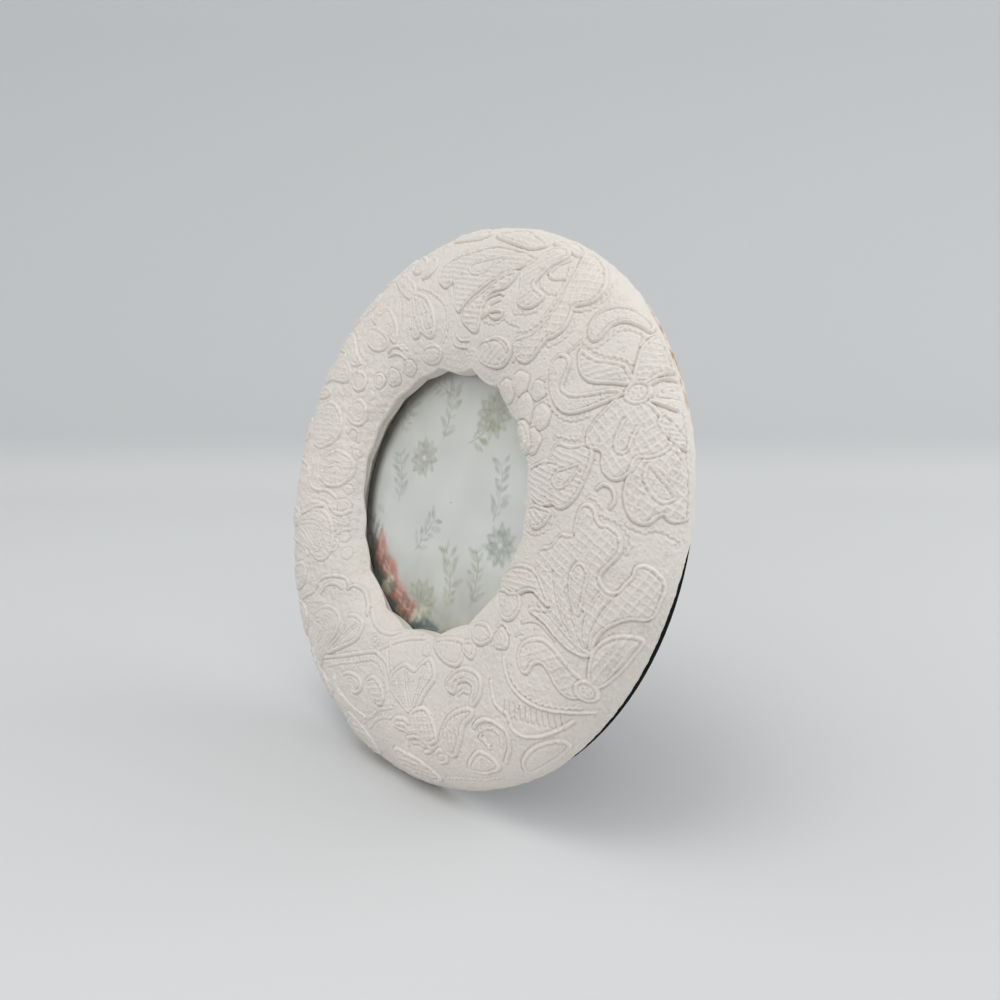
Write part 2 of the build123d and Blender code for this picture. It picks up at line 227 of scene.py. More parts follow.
def to_row(u, v, n):
    """Local millimetres to metres in the shared frame."""
    u, v, n = np.broadcast_arrays(np.asarray(u, float), v, n)
    y = CENTRE_Y + MM * (v * math.sin(LEAN) - n * math.cos(LEAN))
    z = CENTRE_Z + MM * (v * math.cos(LEAN) + n * math.sin(LEAN))
    return np.stack([MM * u, y, z], axis=-1)


def polar(centre, radius, angle):
    """The point at a radius and an angle in radians round a centre."""
    return centre[0] + radius * math.cos(angle), centre[1] + radius * math.sin(angle)


def waves(u, v, seed, size, layers):
    """Smooth seeded unevenness between about -1 and 1."""
    rng = np.random.default_rng(seed)
    total = np.zeros(np.broadcast(u, v).shape)
    for layer in range(layers):
        for _ in range(5):
            angle, phase = rng.uniform(0, 2 * math.pi, 2)
            rate = 2 * math.pi / (size / 1.8 ** layer) * rng.uniform(0.7, 1.3)
            total += np.sin(rate * (u * math.cos(angle) + v * math.sin(angle)) + phase) / 1.6 ** layer
    return total / 5


# Profile of the ring

def profile_table():
    """Radius, height and arc length along the dome, from the mouth over the crown to the rim."""
    turn = np.radians(np.linspace(-90, 90, PROFILE_POINTS))
    inner = turn < 0
    span = np.where(inner, CROWN_RADIUS - MOUTH_RADIUS, RING_RADIUS - CROWN_RADIUS)
    foot = np.where(inner, MOUTH_HEIGHT, RIM_HEIGHT)
    radius = CROWN_RADIUS + span * np.sin(turn)
    height = foot + (RING_THICKNESS - foot) * np.cos(turn)
    steps = np.hypot(np.diff(radius), np.diff(height))
    arc = np.concatenate([[0.0], np.cumsum(steps)])
    return radius, height, arc + CROWN_RADIUS - np.interp(CROWN_RADIUS, radius, arc)


PROFILE_RADIUS, PROFILE_HEIGHT, PROFILE_ARC = profile_table()


def radius_at(arc):
    """The dome's radius at an arc length."""
    return np.interp(arc, PROFILE_ARC, PROFILE_RADIUS)


def height_at(arc):
    """The dome's height at an arc length."""
    return np.interp(arc, PROFILE_ARC, PROFILE_HEIGHT)


def unroll(points):
    """Points on the face, seen square on, to their places on the flat relief map."""
    points = np.asarray(points, float)
    radius = np.hypot(points[:, 0], points[:, 1])
    arc = np.interp(radius, PROFILE_RADIUS, PROFILE_ARC)
    return points * (arc / radius)[:, None]


def smooth_path(points, closed, spacing=0.16):
    """A rounded path through the given points, sampled evenly enough for the relief map."""
    points = np.asarray(points, float)
    if closed:
        ring = np.vstack([points[-1], points, points[0], points[1]])
    else:
        ring = np.vstack([2 * points[0] - points[1], points, 2 * points[-1] - points[-2]])
    samples = []
    for p0, p1, p2, p3 in zip(ring, ring[1:], ring[2:], ring[3:]):
        steps = max(2, int(np.hypot(*(p2 - p1)) / spacing))
        t = np.linspace(0, 1, steps, endpoint=False)[:, None]
        a = 2 * p1
        b = (p2 - p0) * t
        c = (2 * p0 - 5 * p1 + 4 * p2 - p3) * t ** 2
        d = (3 * p1 - p0 - 3 * p2 + p3) * t ** 3
        samples.append((a + b + c + d) / 2)
    if not closed:
        samples.append(points[-1:])
    return np.vstack(samples)


# Lace relief

def threads(distance, pitch):
    """Evenly spaced thin raised lines."""
    away = np.abs(distance / pitch - np.round(distance / pitch)) * pitch
    return THREAD_HEIGHT * np.clip(1 - (away / THREAD_HALF_WIDTH) ** 2, 0, 1)


class Relief:
    """A height map in millimetres over the flat layout of the dome."""

    def __init__(self):
        count = int(2 * MAP_REACH / MAP_CELL) + 1
        self.axis = np.linspace(-MAP_REACH, MAP_REACH, count)
        self.height = np.zeros((count, count))
        self.plain = np.ones((count, count))

    def window(self, low, high):
        """The part of the map between two corners."""
        start = np.maximum(((np.asarray(low) + MAP_REACH) / MAP_CELL).astype(int), 0)
        stop = ((np.asarray(high) + MAP_REACH) / MAP_CELL).astype(int) + 2
        return slice(start[1], stop[1]), slice(start[0], stop[0])

    def grid(self, area):
        """The u and v of each cell of a part of the map."""
        return np.meshgrid(self.axis[area[1]], self.axis[area[0]])

    def distance(self, path, reach):
        """Distance from a path to the cells near it."""
        area = self.window(path.min(axis=0) - reach, path.max(axis=0) + reach)
        found = np.full(self.height[area].shape, reach * 2)
        rows, columns = area
        for point in path:
            near = self.window(point - reach, point + reach)
            local = (slice(near[0].start - rows.start, near[0].stop - rows.start),
                     slice(near[1].start - columns.start, near[1].stop - columns.start))
            u = self.axis[near[1]] - point[0]
            v = self.axis[near[0]] - point[1]
            patch = found[local]
            away = np.sqrt(u[None, :patch.shape[1]] ** 2 + v[:patch.shape[0], None] ** 2)
            np.minimum(patch, away, out=patch)
        return area, found

    def inside(self, path, area):
        """Which cells of a part of the map lie inside a closed path."""
        u, v = self.grid(area)
        crossed = np.zeros(u.shape, bool)
        sparse = path[::4]
        for a, b in zip(sparse, np.roll(sparse, -1, axis=0)):
            if a[1] == b[1]:
                continue
            spans = (a[1] > v) != (b[1] > v)
            crossed ^= spans & (u < (b[0] - a[0]) * (v - a[1]) / (b[1] - a[1]) + a[0])
        return crossed

    def ridge(self, path, half_width, height, crease=CREASE_DEPTH):
        """A soft ridge along a path, creased deeper on its lower left and worn towards the left and below."""
        left = -path[:, 0].mean()
        low = -path[:, 1].mean()
        ease = 1 + CORD_EASE * np.clip(max(left, low - WORN_BELOW) / WORN_REACH, 0, 1)
        half_width *= ease
        height /= ease ** 0.5
        crease *= 1 - CREASE_EASE * np.clip(left / WORN_REACH, 0, 1)
        area, away = self.distance(path + np.array(CREASE_SHIFT), half_width + CREASE_REACH)
        self.height[area] -= crease * np.clip(1 - np.abs(away - half_width) / CREASE_REACH, 0, 1) ** 2
        area, away = self.distance(path, half_width)
        ridge = height * np.clip(1 - (away / half_width) ** 2, 0, 1) ** RIDGE_FULLNESS - RIDGE_SINK
        ground = self.height[area]
        self.height[area] = np.where(away < half_width, np.maximum(ground, ridge), ground)

    def cord(self, points, width=1.0, height=1.0):
        """A smooth raised cord through points."""
        path = unroll(smooth_path(points, False))
        self.ridge(path, CORD_HALF_WIDTH * width, CORD_HEIGHT * height)

    def picot(self, points, side=1):
        """A thin scalloped thread through points, swinging to one side."""
        path = unroll(smooth_path(points, False))
        along = np.gradient(path, axis=0)
        along /= np.hypot(along[:, 0], along[:, 1])[:, None] + 1e-9
        travel = np.concatenate([[0.0], np.cumsum(np.hypot(*np.diff(path, axis=0).T))])
        swing = side * PICOT_SWING * np.abs(np.sin(np.pi * travel / PICOT_PITCH))
        path = path + np.stack([along[:, 1], -along[:, 0]], axis=1) * swing[:, None]
        self.ridge(path, PICOT_HALF_WIDTH, PICOT_HEIGHT, PICOT_CREASE)

    def pattern(self, area, fill, turn, pitch):
        """The texture inside a motif."""
        u, v = self.grid(area)
        angle = math.radians(turn)
        bend = FILL_BEND * waves(u, v, seed=17, size=9, layers=2)
        along = u * math.cos(angle) + v * math.sin(angle) + bend
        across = v * math.cos(angle) - u * math.sin(angle) - bend
        level = np.full(u.shape, FILL_LEVEL)
        faded = 1 - FADE_SHARE * np.clip(-u / FADE_REACH, 0, 1)
        if fill == "ribs":
            level += faded * threads(across, pitch)
        if fill == "lattice":
            level += faded * np.maximum(threads(across, pitch), threads(along, pitch))
        if fill == "seeded":
            level += (SEED_HEIGHT * np.sin(along * 2 * math.pi / SEED_PITCH)
                      * np.sin(across * 2 * math.pi / SEED_PITCH))
        return level

    def petal(self, points, fill="ribs", turn=0, pitch=None, width=1.0, height=1.0):
        """A closed motif: a textured inside with a cord round it."""
        path = unroll(smooth_path(points, True))
        area = self.window(path.min(axis=0) - 1, path.max(axis=0) + 1)
        mask = self.inside(path, area)
        pitch = pitch or (LATTICE_PITCH if fill == "lattice" else RIB_PITCH)
        self.height[area] = np.where(mask, self.pattern(area, fill, turn, pitch), self.height[area])
        self.plain[area] = np.where(mask, MOTIF_LUMPS, self.plain[area])
        self.ridge(path, CORD_HALF_WIDTH * width, CORD_HEIGHT * height)

    def ball(self, centre, radius, height=0.8, ring=0.0):
        """A low flat berry, a little out of round, with a groove at a share of its radius if asked."""
        middle = unroll([centre])[0]
        area = self.window(middle - radius - 1, middle + radius + 1)
        u, v = self.grid(area)
        away = np.hypot(u - middle[0], v - middle[1]) / radius
        turn = np.arctan2(v - middle[1], u - middle[0])
        broad, fine = BERRY_WOBBLE
        away = away * (1 + broad * np.sin(3 * turn + radius * 5) + fine * np.sin(5 * turn + radius * 9))
        dome = height * np.clip(1 - away ** 4, 0, 1) ** 0.6 - BERRY_SINK * (1 - away)
        if ring:
            off_groove = (away - ring) * radius / BERRY_GROOVE_HALF_WIDTH
            dome -= BERRY_GROOVE_DEPTH * np.clip(1 - off_groove ** 2, 0, 1)
        depth = CREASE_DEPTH * min(1, height / BERRY_CREASE_HEIGHT)
        crease = depth * np.clip(1 - np.abs(away - 1) * radius / CREASE_REACH, 0, 1) ** 2
        self.height[area] = np.where(away < 1, dome, self.height[area]) - crease
        self.plain[area] = np.where(away < 1, BERRY_LUMPS, self.plain[area])

    def button(self, centre, radius):
        """A corded flower centre with five small holes."""
        rim = [polar(centre, radius, angle) for angle in np.radians(np.arange(0, 360, 30))]
        self.petal(rim, fill="seeded", turn=20)
        for step in range(5):
            self.pit(polar(centre, 0.4 * radius, 2 * math.pi * step / 5), 0.5, 0.4)

    def pit(self, centre, radius, depth=0.7):
        """A small casting hole."""
        middle = unroll([centre])[0]
        area = self.window(middle - radius, middle + radius)
        u, v = self.grid(area)
        away = np.hypot(u - middle[0], v - middle[1]) / radius
        self.height[area] -= depth * np.clip(1 - away ** 2, 0, 1)

    def sample(self, values, u, v):
        """Reads a map between its cells."""
        x = np.clip((u + MAP_REACH) / MAP_CELL, 0, len(self.axis) - 2)
        y = np.clip((v + MAP_REACH) / MAP_CELL, 0, len(self.axis) - 2)
        column = x.astype(int)
        row = y.astype(int)
        right = x - column
        up = y - row
        low = values[row, column] * (1 - right) + values[row, column + 1] * right
        high = values[row + 1, column] * (1 - right) + values[row + 1, column + 1] * right
        return low * (1 - up) + high * up


def carve_east(lace):
    """The flower on the right, its petals and the hook above it."""
    lace.petal([(88.3, 27.5), (87.3, 24), (86.6, 20), (87, 16), (88.5, 12.5), (90.5, 10.3), (93, 9.3),
                (95, 10), (96.5, 12.3), (98, 13.2), (99.5, 11.8), (101.2, 13), (100.5, 19), (98.8, 26),
                (96.5, 31), (94.5, 34), (91, 33)], "lattice", 70)
    lace.petal([(91.2, 26.6), (91, 24), (91.6, 21.6), (94.6, 18), (96.6, 16.7), (98.3, 17.5), (98.5, 19.4),
                (94.6, 24)], "seeded", 40)
    lace.picot([(89.5, 8.3), (92, 7.8), (94, 7.3), (96.5, 8.6), (99, 8.6), (101.5, 7)])
    lace.petal([(78.3, 46.3), (76, 43.8), (74, 40.5), (72, 37), (70.6, 34), (70.2, 31.5), (71, 29.6),
                (73, 28.6), (75.5, 28.4), (77, 27.3), (77.6, 24.5), (79, 22.2), (81.3, 20.7), (83.5, 20.6),
                (85.5, 21.8), (86.8, 24), (87, 26.5), (88, 28.3), (90.5, 28.9), (92.7, 30.2), (93.9, 32.5),
                (93.8, 35), (92, 38.5), (89, 42), (85, 45)], "lattice", 50)
    lace.cord([(80.9, 38.5), (80.2, 34), (80.2, 31.5), (81.2, 29.2), (82.8, 28.5), (84.3, 29.5),
               (84.8, 31.5), (84.8, 34), (85.3, 37)])
    lace.petal([(79.6, 51), (78.3, 56), (77.4, 61), (77.9, 66), (80.5, 64.5), (84, 59.5), (85.8, 56),
                (84.4, 54), (82.8, 51)], "ribs", 18, 2.2)
    lace.petal([(79.5, 50.6), (77.5, 52.6), (75.5, 54.6), (71.5, 55.4), (67, 55.3), (63, 56.3), (59.5, 57.6),
                (60.2, 54), (61.8, 51.2), (64.5, 49.2), (68, 48.7), (73, 49.2), (78, 49.5)], "ribs", 22)
    lace.picot([(62, 59), (65, 57.6), (69, 57), (73.5, 56.8), (77, 55.4)], side=-1)
    lace.petal([(77.3, 46.3), (75.5, 44.5), (72, 42.4), (68, 40.2), (64, 38.6), (60.5, 38), (57.5, 38.8),
                (54.5, 40.8), (52, 44), (50.3, 48.5), (49.8, 52), (50.5, 54.5), (52.5, 55.7), (54.8, 55.4),
                (56.5, 53.8), (56.7, 51.5), (56.1, 48), (56.3, 45.2), (59, 43.7), (62.5, 43.5), (66, 44.3),
                (70, 45.4), (74, 46.6)], "seeded", 10)
    lace.picot([(48.8, 47), (51, 42.3), (54, 39), (57.5, 37), (61, 36.2), (65, 36.8), (69, 38.6)], side=1)
    lace.button((81.7, 47.3), 3.2)
    lace.cord([(83.6, 50.2), (85.2, 52.6), (87.2, 53.3)])
    lace.cord([(85.6, 45.6), (88, 45.3), (91.4, 44.3)])
    lace.cord([(87.2, 49.2), (88, 50.3), (89, 50.9)], width=0.6, height=0.5)
    lace.cord([(86.9, 47.4), (88.6, 47.8), (90.2, 48)], width=0.6, height=0.5)
    lace.petal([(90, 42), (92.5, 40.5), (95.3, 36.5), (96.5, 33), (94.3, 34.8), (91.3, 37.5), (89.7, 40)],
                "ribs", 10, 1.5, width=0.8)
    lace.picot([(92.5, 43.5), (95.8, 40), (98, 35.5), (99.3, 30)], side=-1)
    lace.picot([(95.3, 35.5), (97.5, 32), (99.3, 27.5), (100.6, 21)], side=1)
    lace.petal([(62.4, 61.6), (60.6, 63), (59.5, 66), (60, 69.5), (62, 72), (65, 73.4), (68.5, 73.3),
                (72, 71.5), (75, 69), (76, 67), (73.5, 68.2), (70.5, 69), (67.8, 68.6), (66, 67), (65, 64.8),
                (64, 62.5)], "seeded", 30)
    lace.picot([(59, 61.5), (61.5, 60), (64, 60.2), (66, 62.2), (67.2, 64.5), (68.8, 66.4), (70.8, 67.2),
                (73, 66.9), (76, 65.5), (77, 62)], side=1)
    lace.cord([(50.2, 71.8), (51.8, 70.8), (54, 70.7)], width=0.7, height=0.6)
    lace.cord([(55, 57), (58, 60.5)], width=0.6, height=0.5)


def carve_north_east(lace):
    """The lobed lattice band, the hanging bulb and the swirls beside them."""
    lace.petal([(31.5, 59.3), (31.8, 56.5), (33, 54), (35, 52.7), (37.5, 52.4), (40, 53.5), (42, 56),
                (43.5, 58.7), (44.8, 60.6), (47, 61.5), (49.5, 63.2), (51, 65.5), (51.3, 68.5), (50.9, 71),
                (51.8, 72.4), (54, 73), (56.5, 74.2), (57.6, 76.5), (57.5, 79.5), (56, 82.5), (53.5, 85.5),
                (50, 88.3), (46.5, 90.3), (43.4, 91.5), (45, 87), (46, 82), (46, 77), (45.5, 73), (44, 69),
                (42, 65.5), (39.5, 62.7), (37, 61), (34, 60.3)], "lattice", 4)
    lace.picot([(31, 62), (34.5, 62.2), (37.3, 63.4), (39.7, 65.6), (41.8, 68.5), (43.3, 72), (44, 76),
                (44.2, 81), (43, 86)], side=-1)
    lace.picot([(53.5, 71), (56.5, 72), (58.8, 74.5), (59.5, 78), (58.5, 82)], side=1)
    lace.picot([(45.5, 58.5), (48, 59.6), (51, 61.5), (53.2, 64.5), (53.6, 68)], side=1)
    lace.petal([(27.5, 73.5), (28.2, 71.8), (29.8, 70.8), (32, 70.6), (34.5, 70.9), (36.5, 72.3),
                (37.8, 74.2), (36.6, 75.6), (34.5, 76.3), (32.5, 77.3), (31.6, 78.8), (32.6, 81.5),
                (35, 85.3), (38.7, 89.8), (35.5, 92.5), (31, 91.6), (27.6, 87.3), (24.8, 83), (26, 79.5),
                (27.2, 76.5)], "ribs", 40)
    lace.picot([(34, 81), (35.3, 78.8), (37.6, 77.2), (40, 76.4), (43, 76.2)], side=1)
    lace.cord([(36.2, 82.8), (37.5, 81.4), (40, 81), (43.4, 81.3)], width=0.8, height=0.7)
    lace.cord([(36.2, 82.8), (38.5, 86.5), (41, 88)], width=0.8, height=0.7)
    lace.picot([(27, 68.6), (30, 68.8), (33.5, 69), (36.5, 69.9), (39, 72.2)], side=1)
    lace.cord([(11, 70), (12, 72.5), (14.5, 74), (17.5, 75), (20, 74.5)], width=0.8)
    lace.cord([(15, 71), (17, 72), (19, 72.7)], width=0.7, height=0.7)
    lace.cord([(12.2, 66.2), (16.4, 68.5), (21.1, 68.8), (21.2, 66.8), (18.3, 66.2), (15.8, 67)], width=0.9)
    lace.picot([(13, 65.5), (17.5, 64.7), (21.5, 65.8), (23.3, 68.3), (25, 65.8), (28, 65), (31, 64.6)])
    lace.petal([(12, 55.1), (14.3, 57.7), (21.5, 59.6), (27.3, 58.3), (29.5, 55.2), (28.2, 51.8),
                (23.2, 49.8), (16.3, 50.6), (12.9, 52.6)], "ribs", 42, 2.3)
    lace.cord([(16.5, 58.2), (19, 58.9), (22.5, 58.9), (25.5, 57.6), (28, 55.2)], width=0.7, height=0.8)
    lace.cord([(31, 57), (31.3, 55), (32, 52.5)], width=0.7, height=0.7)
    for centre, radius in (((29.5, 42.2), 4.4), ((36.5, 45.2), 4.4), ((46, 43.5), 3.5), ((49.5, 35.4), 4.4),
                           ((40, 37), 5.2), ((46.5, 27.2), 4.6)):
        lace.ball(centre, radius)
    lace.ball((40, 27.5), 6.2, 1.5, ring=0.72)


def carve_south_east(lace):
    """The great fan petal, the shell beside it and the ribbed leaf between them."""
    lace.petal([(47.5, 16), (48, 18.3), (50, 19.7), (53, 20.9), (56.3, 21.6), (57.5, 24), (58.7, 26.8),
                (60.3, 28), (63, 27.8), (66, 27.8), (69, 28.8), (71.8, 29), (73.4, 27), (73.5, 23.5),
                (72.8, 19), (71.8, 15), (70.2, 12), (68, 9.7), (65, 8.5), (62.5, 9.3), (60.8, 8.9),
                (57.5, 8), (54, 8.7), (50.8, 9.8), (48.5, 12)], "ribs", -12)
    lace.petal([(60.3, 16.5), (61.5, 19.3), (64.5, 20.6), (70, 22.8), (69, 19.5), (67, 16.3), (64.5, 14.5),
                (61.8, 14.8)], "seeded", 30, width=0.8)
    lace.cord([(50, 19.7), (54, 21.6), (58, 22), (60.5, 22)], width=0.8, height=0.8)
    lace.picot([(57.2, 29.2), (59.5, 30), (64, 29.6), (68.5, 30.6), (69.2, 33.5)], side=-1)
    lace.petal([(50.3, 5.5), (52, 2), (55, 0.4), (58.3, 1.4), (60.8, 4), (61.3, 6.6), (57, 7), (53, 7.2)],
                "ribs", -25)
    lace.picot([(51, -0.6), (55, -1.2), (59, -0.4), (62.2, 2.4), (63.3, 6)], side=1)
    lace.cord([(77.8, 16.6), (79.5, 18.2), (82, 18), (83.8, 16.2), (84.3, 13.8), (83.5, 11.8)])
    lace.picot([(80.5, 9.2), (83, 8.6), (86.5, 7.8), (89.5, 6), (91.3, 3), (90.6, -0.5)], side=-1)
    lace.picot([(75, 13.2), (78, 13), (80.5, 11)], side=-1)
    lace.petal([(84.8, -33), (86, -28), (88, -24.5), (91.5, -21), (95, -18.9), (98.8, -17.8), (100.4, -12),
                (100.8, -7), (99, -3.9), (96.5, -2.7), (94.5, -3.8), (94, -6.5), (92.3, -9.5), (90.5, -12.3),
                (88, -12.7), (85.8, -11.2), (84.7, -9), (85.3, -6.8), (87, -4.3), (88.8, -1.5), (89.3, 1),
                (88.5, 3.7), (86.5, 5.5), (84, 6.4), (82, 6.2), (80.5, 7.2), (79, 9.7), (77, 11.2), (75, 11),
                (73.6, 9.4), (73.2, 6), (73.3, 2), (72, 0.8), (69, 0.7), (67, -0.8), (65.8, -3.2),
                (64, -4.5), (61.8, -5), (60.2, -6.8), (60, -9.5), (62, -13), (66, -17.5), (70, -22.5),
                (61.5, -24.7), (66, -26.3), (70, -28), (75, -31.2), (80, -33.2)], "lattice", 64)
    for line in ([(68.5, -11), (71, -17), (75, -23.5), (80, -29.5), (83.5, -32)],
                 [(74.5, -15), (77, -20), (80, -25.5), (83.5, -31)],
                 [(85.5, -13.5), (83.5, -19), (82.5, -25), (83.8, -30.5)],
                 [(91, -13), (87.5, -19), (85.4, -25), (84.6, -31)],
                 [(64.5, -22.3), (70, -24.6), (76, -28), (82, -32)]):
        lace.cord(line, width=0.7, height=0.75)
    lace.cord([(80.2, -21.5), (80.8, -14), (80.9, -10), (80, -7.7), (78, -6.3), (76.3, -7.2), (75.3, -9.5),
               (75.3, -12.5), (76.3, -16.5), (78.5, -21.5)])
    lace.petal([(42.5, -18.5), (45.5, -15.5), (50, -13.2), (55, -12.2), (60, -12.8), (63.5, -15),
                (66.5, -18.5), (69, -21.8), (64, -20), (61, -18.7), (57.5, -19.5), (54.5, -21.3), (49, -21),
                (45, -21.5)], "ribs", 5)
    lace.petal([(43.5, -23.5), (46, -27), (50, -30.3), (53.5, -30), (56, -27.2), (56.5, -24), (54.5, -21.8),
                (50, -22.3), (46.5, -22)], "seeded", 15)
    lace.cord([(54.5, -21.3), (57.5, -19.5), (61, -18.7), (64, -19.6)])
    lace.cord([(59, -29.8), (62, -28.4), (66, -28.2), (70, -29.9), (73, -31.6)], width=0.6, height=0.5)
    lace.petal([(62, -43.5), (63.5, -44.7), (65, -43.5), (66, -41.3), (68, -39.8), (70.3, -39.8), (73, -42),
                (75.5, -45), (78, -47), (80.5, -47.5), (83, -46), (83, -41.3), (81, -39.7), (77, -36.8),
                (73, -34), (69.5, -32.7), (66, -33), (63, -34.5), (61, -36.5), (60.3, -39.5), (61, -42)],
                "ribs", 28, 3.2)
    lace.petal([(85.5, -40.8), (85.3, -36), (86, -32), (87.5, -29), (90, -26.5), (93, -24.8), (96.3, -24.2),
                (97.6, -25.2), (96.2, -29), (94, -33.5), (91, -38.5), (87.8, -42)], "ribs", 60, 2.6)
    lace.button((84.6, -44.2), 3.0)
    lace.cord([(54.3, -42.5), (55.8, -46), (58, -49.2), (61, -51.7), (65, -53.3), (70, -54), (76, -53.4),
               (82, -51.9), (86.2, -50.4)])
    lace.picot([(57, -44.5), (59.5, -48), (62.5, -50.3), (66, -51.6), (71, -52.2), (77, -51.5), (83, -49.8)])
    lace.cord([(50.3, -51.5), (51.5, -54.3), (53.9, -58.4), (58.6, -60.2), (60.4, -63.6), (64.3, -65.2),
               (70.4, -63.3), (76.2, -59.3), (80.5, -55.2)])
    for index in range(11):
        start = 57.5 + 2.0 * index
        lace.cord([(start, -56.2 + 0.12 * index), (start + 0.5, -60.6 + 0.22 * index)],
                  width=0.55, height=0.45)
    lace.ball((51.3, -37.3), 3.7, ring=0.6)
    lace.picot([(46.5, -36), (48.5, -32.5), (52, -32.2), (54.8, -34.5)])
    lace.cord([(57.5, -34.4), (59, -33.2), (60.3, -32.9)], width=0.6, height=0.5)


def carve_south(lace):
    """The drops, leaves and flowers below the opening."""
    lace.petal([(17.6, -47.6), (21.5, -50.3), (27.4, -51.9), (33, -51.1), (34.5, -47.3), (33.3, -43.6),
                (28.6, -43.6), (22, -45.2)], "seeded", 0, width=1.1, height=0.8)
    lace.petal([(33.4, -43.5), (35.2, -46), (39.3, -47), (40, -43.9), (38.2, -41.8)], "plain", 0, height=0.8)
    lace.petal([(35.4, -37.6), (37.5, -35.6), (42.8, -35), (46.9, -37.4), (43.3, -41), (38.6, -41)],
                "seeded", 30)
    lace.petal([(0.4, -64.6), (2.7, -69.7), (8.8, -72.6), (15.1, -74.3), (17.4, -70.7), (20.2, -64.2),
                (23.1, -59.6), (22.5, -56.1), (18.9, -53.4), (15.4, -55.8), (12.3, -59.1), (6, -59.1)],
                "seeded", 60, width=1.15)
    lace.cord([(8, -60.8), (10.8, -66), (14, -71.6)], width=0.8, height=0.6)
    lace.cord([(17.6, -56.5), (17, -63), (15.6, -71)], width=0.8, height=0.6)
    lace.picot([(-5.7, -53.7), (-3, -57.9), (-0.2, -62.9)])
    lace.petal([(30.2, -59.2), (31.7, -55.1), (36.1, -51.5), (42, -50.7), (46, -52.6), (46.3, -57.7),
                (43.4, -62.2), (42.9, -59.7), (43.4, -56), (39.7, -54.5), (35, -56.8), (34, -60.4)],
                "seeded", 10)
    lace.cord([(36.6, -60.5), (38.3, -58.6), (40.6, -58.4)], width=0.8, height=0.6)
    lace.petal([(4.4, -81.3), (5.8, -78.9), (10.2, -77.4), (13.7, -77.8), (13.8, -75.7), (15.6, -73),
                (19.5, -70.5), (23.4, -70.8), (26.6, -74.2), (28.1, -78.8), (22.5, -82.2), (15.6, -81.8),
                (11.2, -81.4), (7.4, -81.7)], "lattice", 20, 2.3)
    lace.cord([(12.7, -86.2), (12.5, -84), (15.6, -82.3), (19.8, -81.2), (23.6, -82.3), (25, -84),
               (22, -85.8)])
    lace.cord([(15.5, -84.8), (18.5, -83.6), (21.5, -84)], width=0.8, height=0.6)
    lace.petal([(29.6, -82.3), (32.7, -82.3), (31.8, -85.6), (28.2, -86.8), (27.2, -84.8)], "plain", 0)
    lace.petal([(30.4, -78.4), (31.5, -73.4), (33.9, -69), (38.2, -65.4), (43.4, -63.1), (43.8, -65.2),
                (40.6, -69.4), (39.3, -75.3), (36.3, -81.7), (32.8, -81.3)], "ribs", 100)
    lace.cord([(45.2, -68.7), (46.8, -66.4), (50, -64.5), (54.4, -64.3), (58.5, -66), (59.3, -71),
               (57.4, -76.5)])
    lace.picot([(47.3, -69.4), (48.6, -67.8), (51.2, -66.6), (54, -66.5), (56.6, -68), (57.1, -71.5)])
    lace.cord([(48.1, -71.3), (49.8, -71.7), (51.8, -73.4)], width=1.1, height=0.8)
    lace.petal([(42.5, -84.5), (44.5, -79.5), (48.3, -76.2), (52.8, -77), (54.3, -79.6), (49.5, -83)],
                "seeded", 0)
    lace.petal([(63.3, -75.1), (65.5, -70.8), (70, -66.3), (75.7, -62.9), (78, -63.7), (75, -67.8),
                (71.7, -71.2), (68, -74.7), (63.9, -77.8)], "seeded", 0)
    lace.petal([(4.5, -91), (12, -90), (20, -90.5), (27, -93.5), (20, -97), (8, -97)], "ribs", 8, 2.0)
    lace.picot([(30, -93), (38, -90), (47, -87), (54, -83.5)], side=-1)


